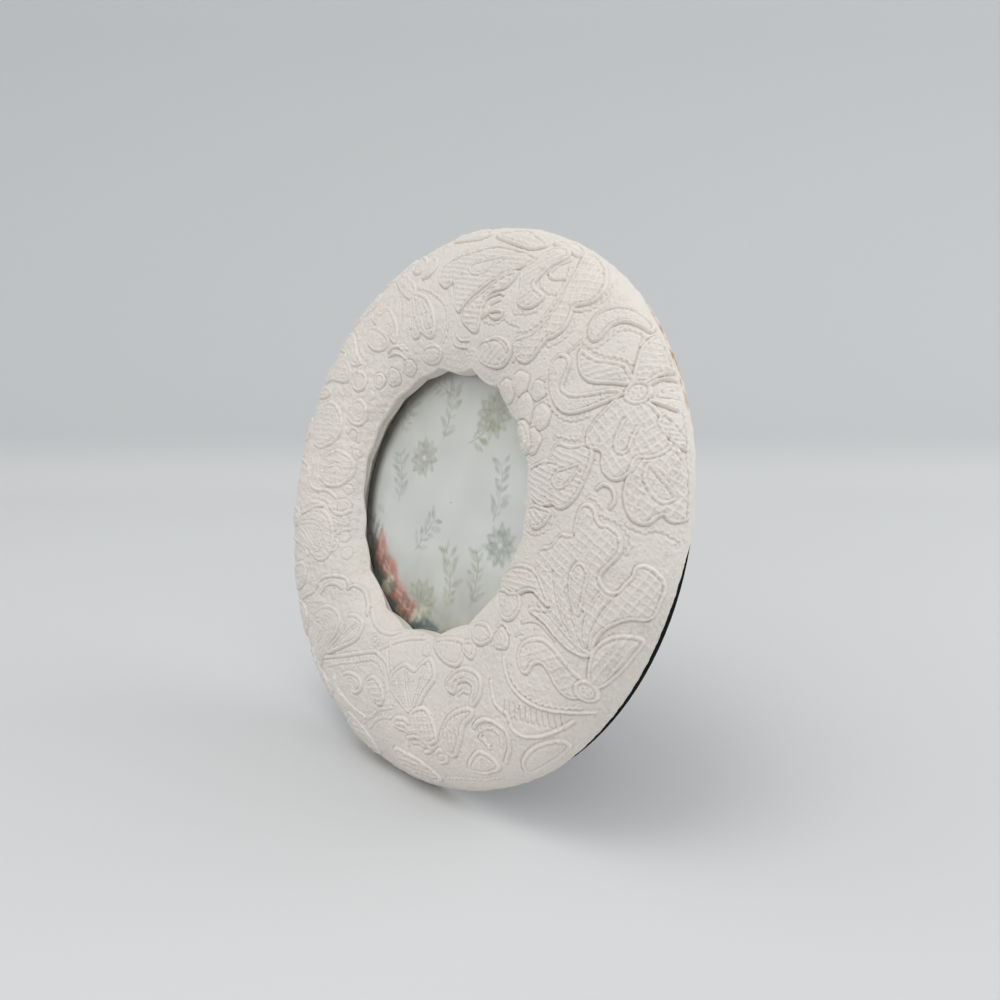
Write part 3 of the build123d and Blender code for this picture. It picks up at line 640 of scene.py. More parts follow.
def carve_south_west(lace):
    """The branch, swirls and double teardrop on the lower left."""
    lace.petal([(-80, -20), (-70, -16.2), (-62, -15.3), (-57, -17.5), (-53.5, -22), (-52.3, -28),
                (-54.3, -33), (-60, -34.6), (-64, -33), (-72, -31), (-81, -28.5)], "ribs", -8, 2.4)
    lace.petal([(-80, -24), (-70, -21.3), (-63, -21), (-58.7, -24), (-58.2, -28), (-61, -31), (-67, -28.6),
                (-73, -26.3)], "seeded", 0)
    lace.cord([(-68.5, -24.2), (-66.5, -25.3), (-64.8, -26.4)], width=0.7)
    lace.cord([(-96, -33), (-88, -31.4), (-80, -31.2), (-73, -32), (-68, -34.4)])
    lace.cord([(-71, -53.5), (-65, -50.4), (-60, -48.4), (-58.4, -46), (-54.6, -41.6), (-46.8, -38.6),
               (-40, -38), (-36.6, -40.5)])
    lace.cord([(-53.9, -47.3), (-50.2, -43.3), (-44.7, -41.4), (-40.5, -42.2)], width=0.9, height=0.8)
    lace.picot([(-70, -57), (-65, -53.4), (-59, -51.4), (-53.5, -50.2)])
    lace.cord([(-12, -59.4), (-7.7, -56.1), (1, -51), (10.7, -47.8)], width=1.1, height=0.5)
    lace.cord([(-22, -46), (-16.4, -50.6), (-8.6, -51.6), (-3, -49)], width=1.1, height=0.5)
    lace.ball((-14, -55.6), 2.6, 0.4, ring=0.5)
    lace.ball((14.6, -51.4), 2.4, 0.4)
    lace.cord([(-37, -41.5), (-34.4, -39.6), (-29, -40.6), (-24.8, -44.4), (-22.8, -48)])
    lace.petal([(-31.6, -50.7), (-25.4, -50.3), (-22.7, -52.6), (-24.4, -57.9), (-32.6, -63.3),
                (-44.1, -68.8), (-36.9, -61.4), (-32.4, -55)], "seeded", 35)
    lace.cord([(-26, -53), (-31, -58), (-38, -64.4)], width=0.7, height=0.5)
    lace.cord([(-46.5, -71.7), (-33.6, -67.3), (-23.3, -63.5), (-12.9, -59.7), (-7.4, -60.3), (-3.3, -62.3),
               (1, -69), (3, -74.5)], height=0.6)
    lace.picot([(-44, -74), (-33, -69.6), (-22.5, -65.8), (-12.8, -62.2), (-8, -62.6), (-4.6, -65)])
    lace.petal([(-29.7, -73.8), (-25.1, -71.4), (-18.7, -71.4), (-16.4, -74.2), (-20.3, -77.5),
                (-25.6, -76.6)], "seeded", 0)
    lace.cord([(-25, -74), (-22, -74), (-20, -75.4)], width=0.8, height=0.7)
    lace.petal([(-10, -68.5), (-5.6, -69.5), (-2.6, -73.5), (-4.6, -77), (-10.4, -75.2), (-13.6, -71.6)],
                "ribs", 18, 2.0)
    lace.picot([(-15.8, -87.8), (-10, -83), (-4.7, -78.9), (3.1, -75.4)])
    lace.picot([(-12.3, -88.6), (-4.5, -81.9), (2.7, -79.4)])
    lace.cord([(-37.1, -75.5), (-33.2, -81.1), (-22.9, -84), (-13.4, -84.9)])
    lace.petal([(-58, -64), (-56.5, -57), (-52, -53), (-46, -51), (-40, -51.3), (-36.8, -54.5),
                (-38.5, -59.5), (-41.5, -63.5), (-47, -71), (-50, -75), (-55, -73)], "seeded", 40)
    lace.cord([(-52, -66.5), (-49, -63.5), (-48, -60.3), (-50, -57.8), (-53, -58.2)])
    lace.cord([(-44.5, -66.5), (-42, -61.5), (-42.5, -57.5), (-46, -55.2)], width=0.8)
    lace.petal([(-93, -45), (-86, -44.6), (-79, -41), (-72, -39), (-68, -41.5), (-70, -47), (-76, -50),
                (-84, -51)], "ribs", 15, 2.4)
    lace.petal([(-98, -20), (-92, -18.4), (-84, -18.8), (-82, -21.5), (-86, -25), (-96, -26)], "ribs", 0, 2.4)
    lace.cord([(-80, -3.5), (-76, -6.2), (-70, -7.8), (-62, -6.8), (-56, -8.6)])
    lace.picot([(-79, -9.5), (-73, -10.4), (-66, -10), (-58, -11)])
    lace.petal([(-79, -19), (-75, -14.5), (-71, -13), (-67, -12.8), (-63, -13), (-68, -14.5), (-74, -17)],
                "ribs", 20)
    lace.petal([(-88, -60), (-80, -56.5), (-72, -55.5), (-66, -57), (-64, -62), (-69, -68), (-75, -69)],
                "ribs", -15, 2.4)
    lace.petal([(-66, -77), (-60, -72), (-54, -77), (-47, -79), (-42, -84), (-48, -88), (-58, -83)],
                "ribs", 25, 2.4)
    lace.petal([(-32, -95.5), (-27, -88), (-20, -89), (-12, -92), (-8, -97), (-20, -98.5)], "ribs", 10, 2.4)


def carve_west(lace):
    """The ribbed leaf, shell and long petals on the left."""
    lace.petal([(-86, 19), (-80, 25.5), (-71, 28.2), (-64, 25.5), (-60.5, 20.5), (-61.8, 15.5), (-67, 11.5),
                (-74, 9.6), (-82, 12)], "ribs", 3, 2.1)
    lace.petal([(-71, 2.5), (-67, 6.8), (-61, 9.3), (-54.5, 9), (-50.8, 6), (-51.5, 0.5), (-56, -3.6),
                (-63, -4.4), (-69, -2)], "ribs", 6, 2.4)
    lace.cord([(-66, 0.6), (-62, 3.4), (-57.5, 4.3), (-54, 2.2)], width=0.8)
    lace.cord([(-101, 2), (-92, 2.2), (-84, 1.2), (-79, -1), (-77.5, -4)])
    lace.petal([(-96, 31.8), (-88, 33), (-79, 33.6), (-75, 32), (-80, 30.2), (-90, 29.8)], "ribs", 0, 2.4)
    lace.petal([(-100, 13), (-98, 18.5), (-90, 19.5), (-87, 15.5), (-90, 11.5), (-96, 10.5)], "ribs", 0, 2.2)
    lace.petal([(-89, 50), (-84, 56), (-76, 57.4), (-68, 55.6), (-63.5, 52.4), (-60, 49), (-56, 46),
                (-60, 44.6), (-66, 46.2), (-72, 49.5), (-80, 50.5)], "ribs", -20, 2.3)
    lace.picot([(-80, 60), (-71, 59), (-64.5, 55.8), (-60, 51.6), (-55, 48)], side=-1)
    lace.petal([(-94, 38.5), (-88, 42), (-80, 43.5), (-72, 46.4), (-66, 45.3), (-62, 42.5), (-61, 39),
                (-66, 37.5), (-76, 38), (-86, 36.4)], "ribs", -5, 2.3)
    lace.petal([(-58.3, 39), (-57.5, 36.5), (-54.5, 35), (-51, 35.8), (-49.5, 39), (-52, 41.8), (-56, 41.7)],
                "seeded", 0)
    lace.petal([(-57.6, 24), (-55.7, 29.2), (-51.4, 31), (-47.6, 28.6), (-47.4, 24), (-51.6, 21.6)], "plain",
                0)
    lace.cord([(-55.8, 17.6), (-53.4, 20), (-50.4, 18.6), (-50.2, 15)], width=0.9, height=0.8)
    lace.ball((-51.6, -11.5), 3.2, 0.6, ring=0.6)
    for place, radius in (((-51.4, -4.6), 2.0), ((-49.6, -17), 2.3), ((-54.6, -20), 2.8),
                          ((-47.4, -23), 2.4), ((-51.6, -27), 3.0), ((-43.6, -29), 2.6),
                          ((-50.6, 9.8), 2.0), ((-45.6, 33.6), 2.2)):
        lace.ball(place, radius, 0.4, ring=0.5 if radius > 2.7 else 0.0)
    lace.cord([(-48.6, -12.6), (-51.6, -14.6), (-56, -14.4), (-59.4, -11.8)], width=1.1, height=0.7)
    lace.cord([(-46.4, -19.6), (-50, -21.4), (-52.2, -23.4)], width=1.1, height=0.6)


def carve_north_west(lace):
    """The hook swirl, the tulip and the leaves above the opening."""
    lace.petal([(-50, 60.9), (-56.2, 63.9), (-55.3, 65.9), (-50, 65.8), (-45.5, 67.8), (-39.2, 64),
                (-35.3, 59.5), (-35.3, 54.9), (-38.6, 56.4), (-42, 58), (-46, 59.6)], "seeded", 0)
    lace.petal([(-56.9, 57.7), (-55.6, 59.6), (-51.2, 60), (-45.4, 58.6), (-40.9, 56.5), (-39.6, 53.7),
                (-43.2, 51.7), (-49, 51.8), (-53.7, 54.1)], "plain", 0)
    lace.picot([(-34, 62), (-34.8, 67), (-38.5, 72), (-44.5, 76), (-50, 77.5)], side=1)
    lace.petal([(-31.9, 73.6), (-29.3, 67.1), (-25.8, 61.7), (-24.6, 57.7), (-21.8, 57.9), (-21.2, 60.1),
                (-19.1, 59.4), (-16.1, 58.2), (-13.5, 58.8), (-13.1, 62.3), (-16.4, 68.3), (-22.8, 72.7)],
                "lattice", 40, 1.9)
    lace.cord([(-18.8, 66.6), (-18.4, 62.6), (-15.6, 61.4), (-15, 64.4)], width=0.8, height=0.6)
    lace.picot([(-29.3, 76), (-22.4, 75), (-15.2, 72.4), (-9.8, 69.4), (-6.8, 64.2), (-7, 59.1),
                (-9.9, 54.7)], side=-1)
    lace.petal([(-18, 53), (-17.3, 49.4), (-13.5, 48.8), (-9.3, 50.8), (-8.5, 54), (-13, 55.2)], "plain", 0,
                height=0.8)
    lace.petal([(-50, 80.4), (-43, 76.5), (-37, 73.6), (-32, 72.2), (-30.4, 74.2), (-32, 77), (-37, 79.4),
                (-44, 81.6)], "ribs", -22)
    lace.petal([(-41, 86), (-37, 82.8), (-32.5, 82.6), (-30.6, 85.2), (-33, 88), (-38, 89)], "seeded", 0)
    lace.petal([(-29.5, 88.5), (-25, 87.6), (-23.3, 84.5), (-25, 81.5), (-29.5, 80.6), (-30, 84)], "ribs", 30)
    lace.petal([(-62, 78.5), (-56, 79.5), (-50, 83.4), (-44, 88), (-50, 88.2), (-57, 84)], "ribs", 30, 2.2)
    lace.petal([(-80, 62), (-72, 63.4), (-64, 66.6), (-58, 71.5), (-62, 74.5), (-70, 72), (-77, 67)],
                "ribs", 20, 2.2)
    lace.cord([(-38.5, 51.3), (-36, 53), (-33, 53.5), (-30, 52.6)])
    lace.cord([(-38, 49.3), (-34, 50.6), (-30, 50.2), (-27, 48.6)], width=0.7)
    lace.petal([(-17.6, 79.7), (-15.9, 78.1), (-11.6, 76.7), (-8.5, 78.8), (-6.7, 76.5), (-4.9, 72.6),
                (-3.1, 69.5), (-0.4, 68.2), (4.3, 74.1), (13.8, 80.3), (27.4, 87.4), (18, 91), (6.3, 92.3),
                (-4.7, 90), (-12.8, 87.7), (-17.7, 84.4), (-17.8, 82)], "ribs", -4)
    lace.petal([(-1.6, 83.3), (-1.4, 85.2), (4.2, 86.6), (13.8, 88.4), (10.8, 85.7), (6.6, 82.5),
                (1.9, 81.8)], "seeded", 0, width=0.8)
    lace.petal([(0.8, 67), (4, 63.4), (9.8, 61.2), (11, 66), (10.6, 70.5), (13.4, 75.4), (20, 77.5),
                (22.5, 82.5), (17, 81), (11, 76.6), (5, 71.8)], "ribs", -4)
    lace.petal([(2, 97.6), (8, 95.3), (16, 93.2), (24, 91.8), (28, 93.4), (22, 96.5), (14, 99)], "ribs", -14,
                2.2)
    lace.petal([(-22, 95.8), (-14, 95.6), (-6, 96.3), (-2, 98.5), (-10, 100.2), (-20, 99)], "ribs", 5, 2.2)
    lace.petal([(30, 94.6), (36, 92.6), (42.5, 90), (42, 92), (36, 95)], "ribs", -25, 2.2)
    lace.cord([(-2.2, 57.7), (0, 55.7), (5.6, 55.5)], width=0.8, height=0.7)
    lace.cord([(-0.8, 59.5), (1.8, 57.9), (6.4, 57.9)], width=0.8, height=0.7)
    lace.cord([(-32.9, 53.2), (-30.9, 54.1), (-27.6, 52.7)], width=0.8, height=0.7)
    lace.ball((-41.6, 39.6), 3.3, 0.7, ring=0.55)
    lace.ball((-34.2, 41.6), 3.6, 0.7, ring=0.6)
    lace.ball((-26, 46), 3.3, 0.7, ring=0.6)
    lace.cord([(-71.8, 57), (-63, 50.8), (-55.1, 45.3)])


# Casting holes: u, v and radius
PITS = ((27.8, 87.5, 0.6), (72.7, 18.2, 0.5), (73.3, 1.4, 0.6), (61.2, 8.6, 0.7), (58.5, 7.5, 0.5),
        (81.3, -20.5, 0.5), (48.6, -71, 0.6), (52.2, -73, 0.5), (59.6, -62.4, 0.6), (-28.3, 64.5, 0.7),
        (-27.3, 60, 0.7), (-6.2, 60.6, 0.6), (-3.7, -69, 0.4), (31, 51.6, 0.6), (-45, -43.4, 0.8),
        (11, 55.3, 0.6), (52, 84.8, 0.6), (-96, 32, 0.9), (-50, 67.3, 0.9))


def soften(values, passes=1):
    """Rounds a map a little, as plaster rounds a mould."""
    for _ in range(passes):
        padded = np.pad(values, 1, mode="edge")
        values = (padded[:-2, 1:-1] + padded[2:, 1:-1] + padded[1:-1, :-2] + padded[1:-1, 2:]
                  + 4 * values) / 8
    return values


def roughen(relief):
    """Gives the finished lace its broad waves, casting holes, lumps and grain."""
    u, v = np.meshgrid(relief.axis, relief.axis)
    relief.height = soften(relief.height, MAP_SOFTENING)
    relief.height += BROAD_WAVE * waves(u, v, seed=5, size=26, layers=2)
    for x, y, radius in PITS:
        relief.pit((x, y), radius)
    rng = np.random.default_rng(11)
    for _ in range(SMALL_PITS):
        angle = rng.uniform(0, 2 * math.pi)
        place = polar((0, 0), rng.uniform(*SMALL_PIT_BAND), angle)
        relief.pit(place, rng.uniform(*SMALL_PIT_RADII), SMALL_PIT_DEPTH)
    relief.hollow = relief.height - soften(relief.height, HOLLOW_SOFTENING)
    rng = np.random.default_rng(7)
    rough = np.zeros(u.shape)
    for passes, strength in GRAIN_LAYERS:
        layer = soften(rng.normal(size=u.shape), passes)
        rough += strength * layer / layer.std()
    worn_side = np.clip((LUMPS_START - u) / LUMPS_REACH, LEAST_LUMPS, 1) * relief.plain
    relief.height += LUMP_HEIGHT * worn_side * waves(u, v, seed=29, size=5.5, layers=2)
    patches = np.clip(waves(u, v, seed=9, size=18, layers=2) - 0.3 * relief.plain + 0.4, 0, 1.5)
    relief.height += GRAIN * rough * (0.6 + 0.5 * patches)


def carve_relief():
    """The whole lace pattern."""
    relief = Relief()
    for carve in (carve_north_west, carve_west, carve_south_west, carve_south, carve_south_east,
                  carve_north_east, carve_east):
        carve(relief)
    roughen(relief)
    return relief


# Ring mesh

def opening_radius(angles):
    """The radius of the scalloped opening in each direction."""
    starts = np.array(CUSP_ANGLES, float)
    ends = np.append(starts[1:], starts[0] + 360)
    turned = (angles - starts[0]) % 360 + starts[0]
    index = np.searchsorted(starts, turned, side="right") - 1
    half = (ends[index] - starts[index]) / 2
    middle = starts[index] + half
    off = turned - middle
    chord = CUSP_RADIUS * np.cos(np.radians(half)) / np.cos(np.radians(off))
    swell = np.array(LOBE_SHARES)[index] * 2 * CUSP_RADIUS * np.sin(np.radians(half))
    return chord - swell * (1 - (off / half) ** 2)


def round_corners(values, reach):
    """Eases a closed row of values over a few of its neighbours."""
    weights = np.hanning(2 * reach + 3)[1:-1]
    padded = np.concatenate([values[-reach:], values, values[:reach]])
    return np.convolve(padded, weights / weights.sum(), "valid")


def lip_shift(opening, lip, angles):
    """How far the lip comes down and leans over the wall. The photo shows a low wall on the left and
    none on the lower left, where the casting runs down to the glass."""
    start, end = WALL_HIDING_ANGLES
    hiding = np.clip((angles - start) / (end - start), 0, 1)
    seen = WALL_SEEN_DEPTH * (1 - hiding ** 2 * (3 - 2 * hiding))
    facing = np.clip(np.cos(np.radians(angles - WALL_SEEN_SIDE)), 0, 1)
    full = np.interp(opening + lip, PROFILE_RADIUS, PROFILE_HEIGHT) - lip / 2 - LEDGE_HEIGHT
    excess = np.clip(full - seen, 0, None)
    slant = WALL_SLANT * facing
    lean = (1 - LIP_DROP_SHARE) * slant * excess / (1 + FLANK_SLOPE * slant)
    return LIP_DROP_SHARE * excess * facing ** 0.5, lean


class RingRows:
    """The rows of points round the ring. Each row holds a radius, a height and how hollow the lace is
    there, for every direction."""

    def __init__(self, relief):
        self.relief = relief
        self.angles = np.linspace(0, 360, RING_COLUMNS, endpoint=False)
        self.cosine = np.cos(np.radians(self.angles))
        self.sine = np.sin(np.radians(self.angles))
        soft_side = np.clip(np.cos(np.radians(self.angles - LIP_SOFT_SIDE)), 0, 1) ** 2
        opening = opening_radius(self.angles)
        self.opening = ((1 - soft_side) * round_corners(opening, CORNER_REACH)
                        + soft_side * round_corners(opening, SOFT_CORNER_REACH))
        self.lip = LIP_RADIUS + LIP_SOFTENING * soft_side
        self.drop, lean = lip_shift(self.opening, self.lip, self.angles)
        self.mouth = self.opening - lean
        self.arc_open = np.interp(self.mouth + self.lip, PROFILE_RADIUS, PROFILE_ARC)
        self.lip_height = np.interp(self.mouth + self.lip, PROFILE_RADIUS, PROFILE_HEIGHT) - self.drop
        self.rows = []
        self.add_wall()
        self.add_lip()
        self.add_dome()
        self.add_back()

    def add(self, radius, height, hollow=0.0):
        """One more row."""
        self.rows.append([np.broadcast_to(value, self.angles.shape) for value in (radius, height, hollow)])

    def add_wall(self):
        """An undercut foot, then the finely ruled wall up to the lip."""
        self.add(self.opening + FOOT_UNDERCUT, LEDGE_HEIGHT)
        foot = LEDGE_HEIGHT + FOOT_UNDERCUT
        lines = RULING_DEPTH * np.sin(np.radians(self.angles) * RULING_COUNT)
        for share in np.linspace(0, 1, WALL_ROWS):
            ruling = lines + WALL_UNEVENNESS * waves(self.angles / 3, share * 4, seed=8, size=5, layers=2)
            radius = (self.opening - FOOT_NARROWING + FOOT_NARROWING * share
                      + (self.mouth - self.opening) * share ** 1.5 + ruling * (1 - share))
            self.add(radius, foot + share * (self.lip_height - self.lip - foot))

    def add_lip(self):
        """A quarter round that the relief runs over."""
        relief = self.relief
        for turn in np.radians(np.linspace(*LIP_TURNS, LIP_ROWS)):
            arc = self.arc_open - self.lip * (math.pi / 2 - turn)
            lift = relief.sample(relief.height, arc * self.cosine, arc * self.sine) * np.sin(turn)
            self.add(self.mouth + self.lip * (1 - np.cos(turn)) - lift * np.cos(turn),
                     self.lip_height - self.lip * (1 - np.sin(turn)) + lift * np.sin(turn))

    def add_dome(self):
        """The carved dome, raised or sunk by the relief square to its surface."""
        relief = self.relief
        for share in np.linspace(0, 1, DOME_ROWS):
            arc = self.arc_open + share * (PROFILE_ARC[-1] - self.arc_open)
            flat_u = arc * self.cosine
            flat_v = arc * self.sine
            u = flat_u + WANDER * waves(flat_u, flat_v, seed=41, size=7, layers=2)
            v = flat_v + WANDER * waves(flat_u, flat_v, seed=43, size=7, layers=2)
            lift = relief.sample(relief.height, u, v)
            near_lip = 1 - np.clip((arc - self.arc_open) / LIP_DROP_REACH, 0, 1)
            height = height_at(arc) - self.drop * near_lip ** 2
            slope_r = radius_at(arc + SLOPE_STEP) - radius_at(arc - SLOPE_STEP)
            slope_n = height_at(arc + SLOPE_STEP) - height_at(arc - SLOPE_STEP)
            length = np.hypot(slope_r, slope_n)
            self.add(radius_at(arc) - lift * slope_n / length, height + lift * slope_r / length,
                     relief.sample(relief.hollow, u, v))

    def add_back(self):
        """The rim's edge and the skirt round the board, then the plain back and its pocket."""
        signed = (self.angles + 180) % 360 - 180
        into_gap = np.minimum(signed - SKIRT_GAP[0], SKIRT_GAP[1] - signed)
        skirt = -SKIRT_DEPTH * (1 - np.clip(into_gap / SKIRT_GAP_TAPER, 0, 1)) ** 1.5
        ragged = SKIRT_RAGGED_SHARE * waves(self.angles, 0 * self.angles, seed=13, size=9, layers=3)
        skirt = skirt + ragged * np.minimum(-skirt, SKIRT_RAGGED_LIMIT)
        for share in np.linspace(EDGE_START, 1, SKIRT_ROWS):
            uneven = EDGE_UNEVENNESS * waves(self.angles, share * 20, seed=19, size=4, layers=3)
            self.add(RING_RADIUS + uneven, RIM_HEIGHT + share * (skirt - RIM_HEIGHT))
        for radius, height in ((RECESS_RADIUS, skirt), (RECESS_RADIUS, 0.0), (POCKET_RADIUS, 0.0),
                               (POCKET_RADIUS, LEDGE_HEIGHT)):
            self.add(radius, height)

    def points(self):
        """All points in metres, none of them under the floor."""
        points = [to_row(radius * self.cosine, radius * self.sine, height) for radius, height, _ in self.rows]
        points = np.vstack(points)
        points[:, 2] = np.maximum(points[:, 2], 0)
        return points

    def stains(self):
        """How stained each point is: patches low on the outer side of the rim."""
        from_middle = np.abs(self.angles - STAIN_MIDDLE) / STAIN_REACH
        near_stain = np.clip(1 - from_middle, 0, 1) ** 0.3
        stains = []
        for radius, height, _ in self.rows:
            patches = waves(self.angles, 4 * height + 0 * self.angles, seed=31, size=6, layers=3)
            outside = radius > RING_RADIUS - STAIN_SKIN
            low = np.clip((STAIN_TOP - height) / STAIN_FADE, 0, 1)
            stains.append(outside * low * near_stain * np.clip(patches * 2.5 + 0.5, 0, 1))
        return np.vstack(stains)


def new_mesh(name, points, faces, material):
    """A smooth mesh object from points in metres."""
    mesh = bpy.data.meshes.new(name)
    mesh.vertices.add(len(points))
    mesh.vertices.foreach_set("co", np.asarray(points, np.float32).ravel())
    faces = np.asarray(faces, np.int32)
    mesh.loops.add(faces.size)
    mesh.loops.foreach_set("vertex_index", faces.ravel())
    mesh.polygons.add(len(faces))
    mesh.polygons.foreach_set("loop_start", np.arange(0, faces.size, faces.shape[1], dtype=np.int32))
    mesh.update(calc_edges=True)
    mesh.validate()
    mesh.polygons.foreach_set("use_smooth", np.ones(len(mesh.polygons), bool))
    thing = bpy.data.objects.new(name, mesh)
    bpy.context.scene.collection.objects.link(thing)
    mesh.materials.append(material)
    return thing


def grid_faces(rows, columns, wrap_rows=False, wrap_columns=False):
    """Quads over a grid of points kept row by row."""
    row = np.arange(rows if wrap_rows else rows - 1)
    column = np.arange(columns if wrap_columns else columns - 1)
    row, column = np.meshgrid(row, column, indexing="ij")
    next_row = (row + 1) % rows
    next_column = (column + 1) % columns
    quad = [row * columns + column, row * columns + next_column,
            next_row * columns + next_column, next_row * columns + column]
    return np.stack(quad, axis=-1).reshape(-1, 4)


def keep_values(thing, name, values):
    """Stores one number for each point of a mesh, for its material to read."""
    layer = thing.data.attributes.new(name, "FLOAT", "POINT")
    layer.data.foreach_set("value", np.asarray(values, np.float32).ravel())


def build_ring(material):
    """The cast ring: wall, lip and carved dome in front, plain pocket and back behind."""
    shape = RingRows(carve_relief())
    faces = grid_faces(len(shape.rows), RING_COLUMNS, wrap_rows=True, wrap_columns=True)
    ring = new_mesh("lace_ring_cast", shape.points(), faces[:, ::-1], material)
    keep_values(ring, "stain", shape.stains())
    keep_values(ring, "hollow", np.vstack([hollow for _, _, hollow in shape.rows]))
    sharp = ring.modifiers.new("edges", "EDGE_SPLIT")
    sharp.split_angle = SHARP_EDGE
    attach(ring, "frame")
    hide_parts("lace_ring")
    return ring


# Materials

class Nodes:
    """Small helper to build a material's nodes."""

    def __init__(self, name):
        self.material = bpy.data.materials.new(name)
        self.material.use_nodes = True
        self.tree = self.material.node_tree
        self.shader = self.tree.nodes["Principled BSDF"]
        self.output = self.tree.nodes["Material Output"]
        self.coordinates = self.tree.nodes.new("ShaderNodeTexCoord").outputs["Object"]

    def node(self, kind, **values):
        """A new node with some of its settings."""
        made = self.tree.nodes.new(kind)
        for key, value in values.items():
            setattr(made, key, value)
        return made

    def fill(self, socket, value):
        """Gives a socket a link, a number or a colour."""
        if hasattr(value, "is_output"):
            self.tree.links.new(value, socket)
        elif isinstance(value, tuple) and len(value) < len(socket.default_value):
            socket.default_value = (*value, 1.0)
        else:
            socket.default_value = value

    def fill_all(self, made, **values):
        """Fills a node's sockets by their names."""
        for key, value in values.items():
            self.fill(made.inputs[key.replace("_", " ")], value)
        return made

    def noise(self, scale, detail=3.0, roughness=0.55, vector=None):
        """Smooth noise between 0 and 1."""
        made = self.node("ShaderNodeTexNoise")
        self.fill_all(made, Scale=scale, Detail=detail, Roughness=roughness)
        self.fill_all(made, Vector=vector or self.coordinates)
        return made.outputs["Fac"]

    def ramp(self, source, stops):
        """Colours along a value, each stop with its place."""
        made = self.node("ShaderNodeValToRGB")
        elements = made.color_ramp.elements
        for element, (place, colour) in zip(elements, stops):
            element.position = place
            element.color = (*colour, 1.0)
        self.fill(made.inputs["Fac"], source)
        return made.outputs["Color"]

    def mix(self, share, first, second, blend="MIX"):
        """Two colours mixed by a share."""
        made = self.node("ShaderNodeMix", data_type="RGBA", blend_type=blend)
        for value, socket in ((share, made.inputs[0]), (first, made.inputs[6]), (second, made.inputs[7])):
            self.fill(socket, value)
        return made.outputs[2]

    def spread(self, source, low, high):
        """Maps 0 to 1 onto a range of values."""
        made = self.node("ShaderNodeMapRange")
        return self.fill_all(made, To_Min=low, To_Max=high, Value=source).outputs["Result"]

    def share(self, source, low, high, interpolation="LINEAR"):
        """Maps a range of values onto 0 to 1."""
        made = self.node("ShaderNodeMapRange", interpolation_type=interpolation)
        return self.fill_all(made, From_Min=low, From_Max=high, Value=source).outputs["Result"]

    def value(self, name):
        """A number that the mesh keeps for each of its points."""
        return self.node("ShaderNodeAttribute", attribute_name=name).outputs["Fac"]

    def bump(self, source, strength, distance):
        """Fine bumps, too small for the mesh."""
        made = self.fill_all(self.node("ShaderNodeBump"), Strength=strength, Distance=distance, Height=source)
        self.fill(self.shader.inputs["Normal"], made.outputs["Normal"])

    def set(self, **values):
        """Fills the shader's sockets."""
        self.fill_all(self.shader, **values)


def resin_material():
    """Matt off-white casting, faintly mottled, with painted shade that makes it warmer and darker in its
    hollows.
    """
    look = Nodes("cast_resin")
    mottled = look.ramp(look.noise(28, 5, 0.6), [(0.3, (0.722, 0.678, 0.618)), (0.7, (0.782, 0.742, 0.682))])
    # Painted shade: the hollows mix towards a darker grey-brown, standing in for the shade that falls in them
    out_of_painted_shade = look.share(look.value("hollow"), -0.35, 0.05)
    colour = look.mix(out_of_painted_shade, (0.50, 0.46, 0.415), mottled)
    blush = look.ramp(look.noise(13, 2, 0.5), [(0.55, (0.0, 0.0, 0.0)), (0.85, (0.3, 0.3, 0.3))])
    colour = look.mix(blush, colour, (0.80, 0.66, 0.60))
    colour = look.mix(look.value("stain"), colour, (0.42, 0.22, 0.06))
    look.set(Base_Color=colour, Roughness=look.spread(look.noise(160, 3), 0.62, 0.82))
    look.set(Specular_IOR_Level=0.25)
    look.bump(look.noise(1500, 4, 0.6), 0.25, 0.0002)
    return look.material


def board_material():
    """Black dyed fibreboard with short fibres in its cut edges."""
    look = Nodes("black_board")
    fleck = look.ramp(look.noise(900, 4, 0.7), [(0.35, (0.003, 0.003, 0.003)), (0.75, (0.012, 0.012, 0.012))])
    look.set(Base_Color=fleck, Roughness=look.spread(look.noise(120, 3), 0.7, 0.9), Specular_IOR_Level=0.08)
    look.bump(look.noise(1800, 4, 0.7), 0.4, 0.0003)
    return look.material


def velvet_material():
    """Short black flock with a soft sheen and brushed patches."""
    look = Nodes("black_velvet")
    worn = look.noise(22, 4, 0.65)
    brushed = look.ramp(worn, [(0.35, (0.005, 0.005, 0.006)), (0.7, (0.016, 0.016, 0.018))])
    pile = look.mix(look.noise(3500, 2, 0.6), (0.6, 0.6, 0.6), (1.3, 1.3, 1.3))
    look.set(Base_Color=look.mix(0.8, brushed, pile, "MULTIPLY"), Roughness=0.95, Specular_IOR_Level=0.1)
    look.set(Sheen_Weight=0.2, Sheen_Roughness=0.35)
    look.bump(look.noise(4200, 2, 0.7), 0.6, 0.0002)
    return look.material


def steel_material(name, colour, roughness, grain_scale):
    """Satin metal with a fine rolled grain and faint smudges."""
    look = Nodes(name)
    stretch = look.node("ShaderNodeMapping")
    look.fill_all(stretch, Scale=(1.0, 12.0, 12.0), Vector=look.coordinates)
    grain = look.noise(grain_scale, 3, 0.6, stretch.outputs["Vector"])
    darker = tuple(0.8 * part for part in colour)
    look.set(Base_Color=look.ramp(grain, [(0.3, darker), (0.7, colour)]), Metallic=1.0)
    look.set(Roughness=look.spread(look.noise(70, 4, 0.6), roughness - 0.08, roughness + 0.12))
    look.bump(grain, 0.08, 0.0001)
    return look.material


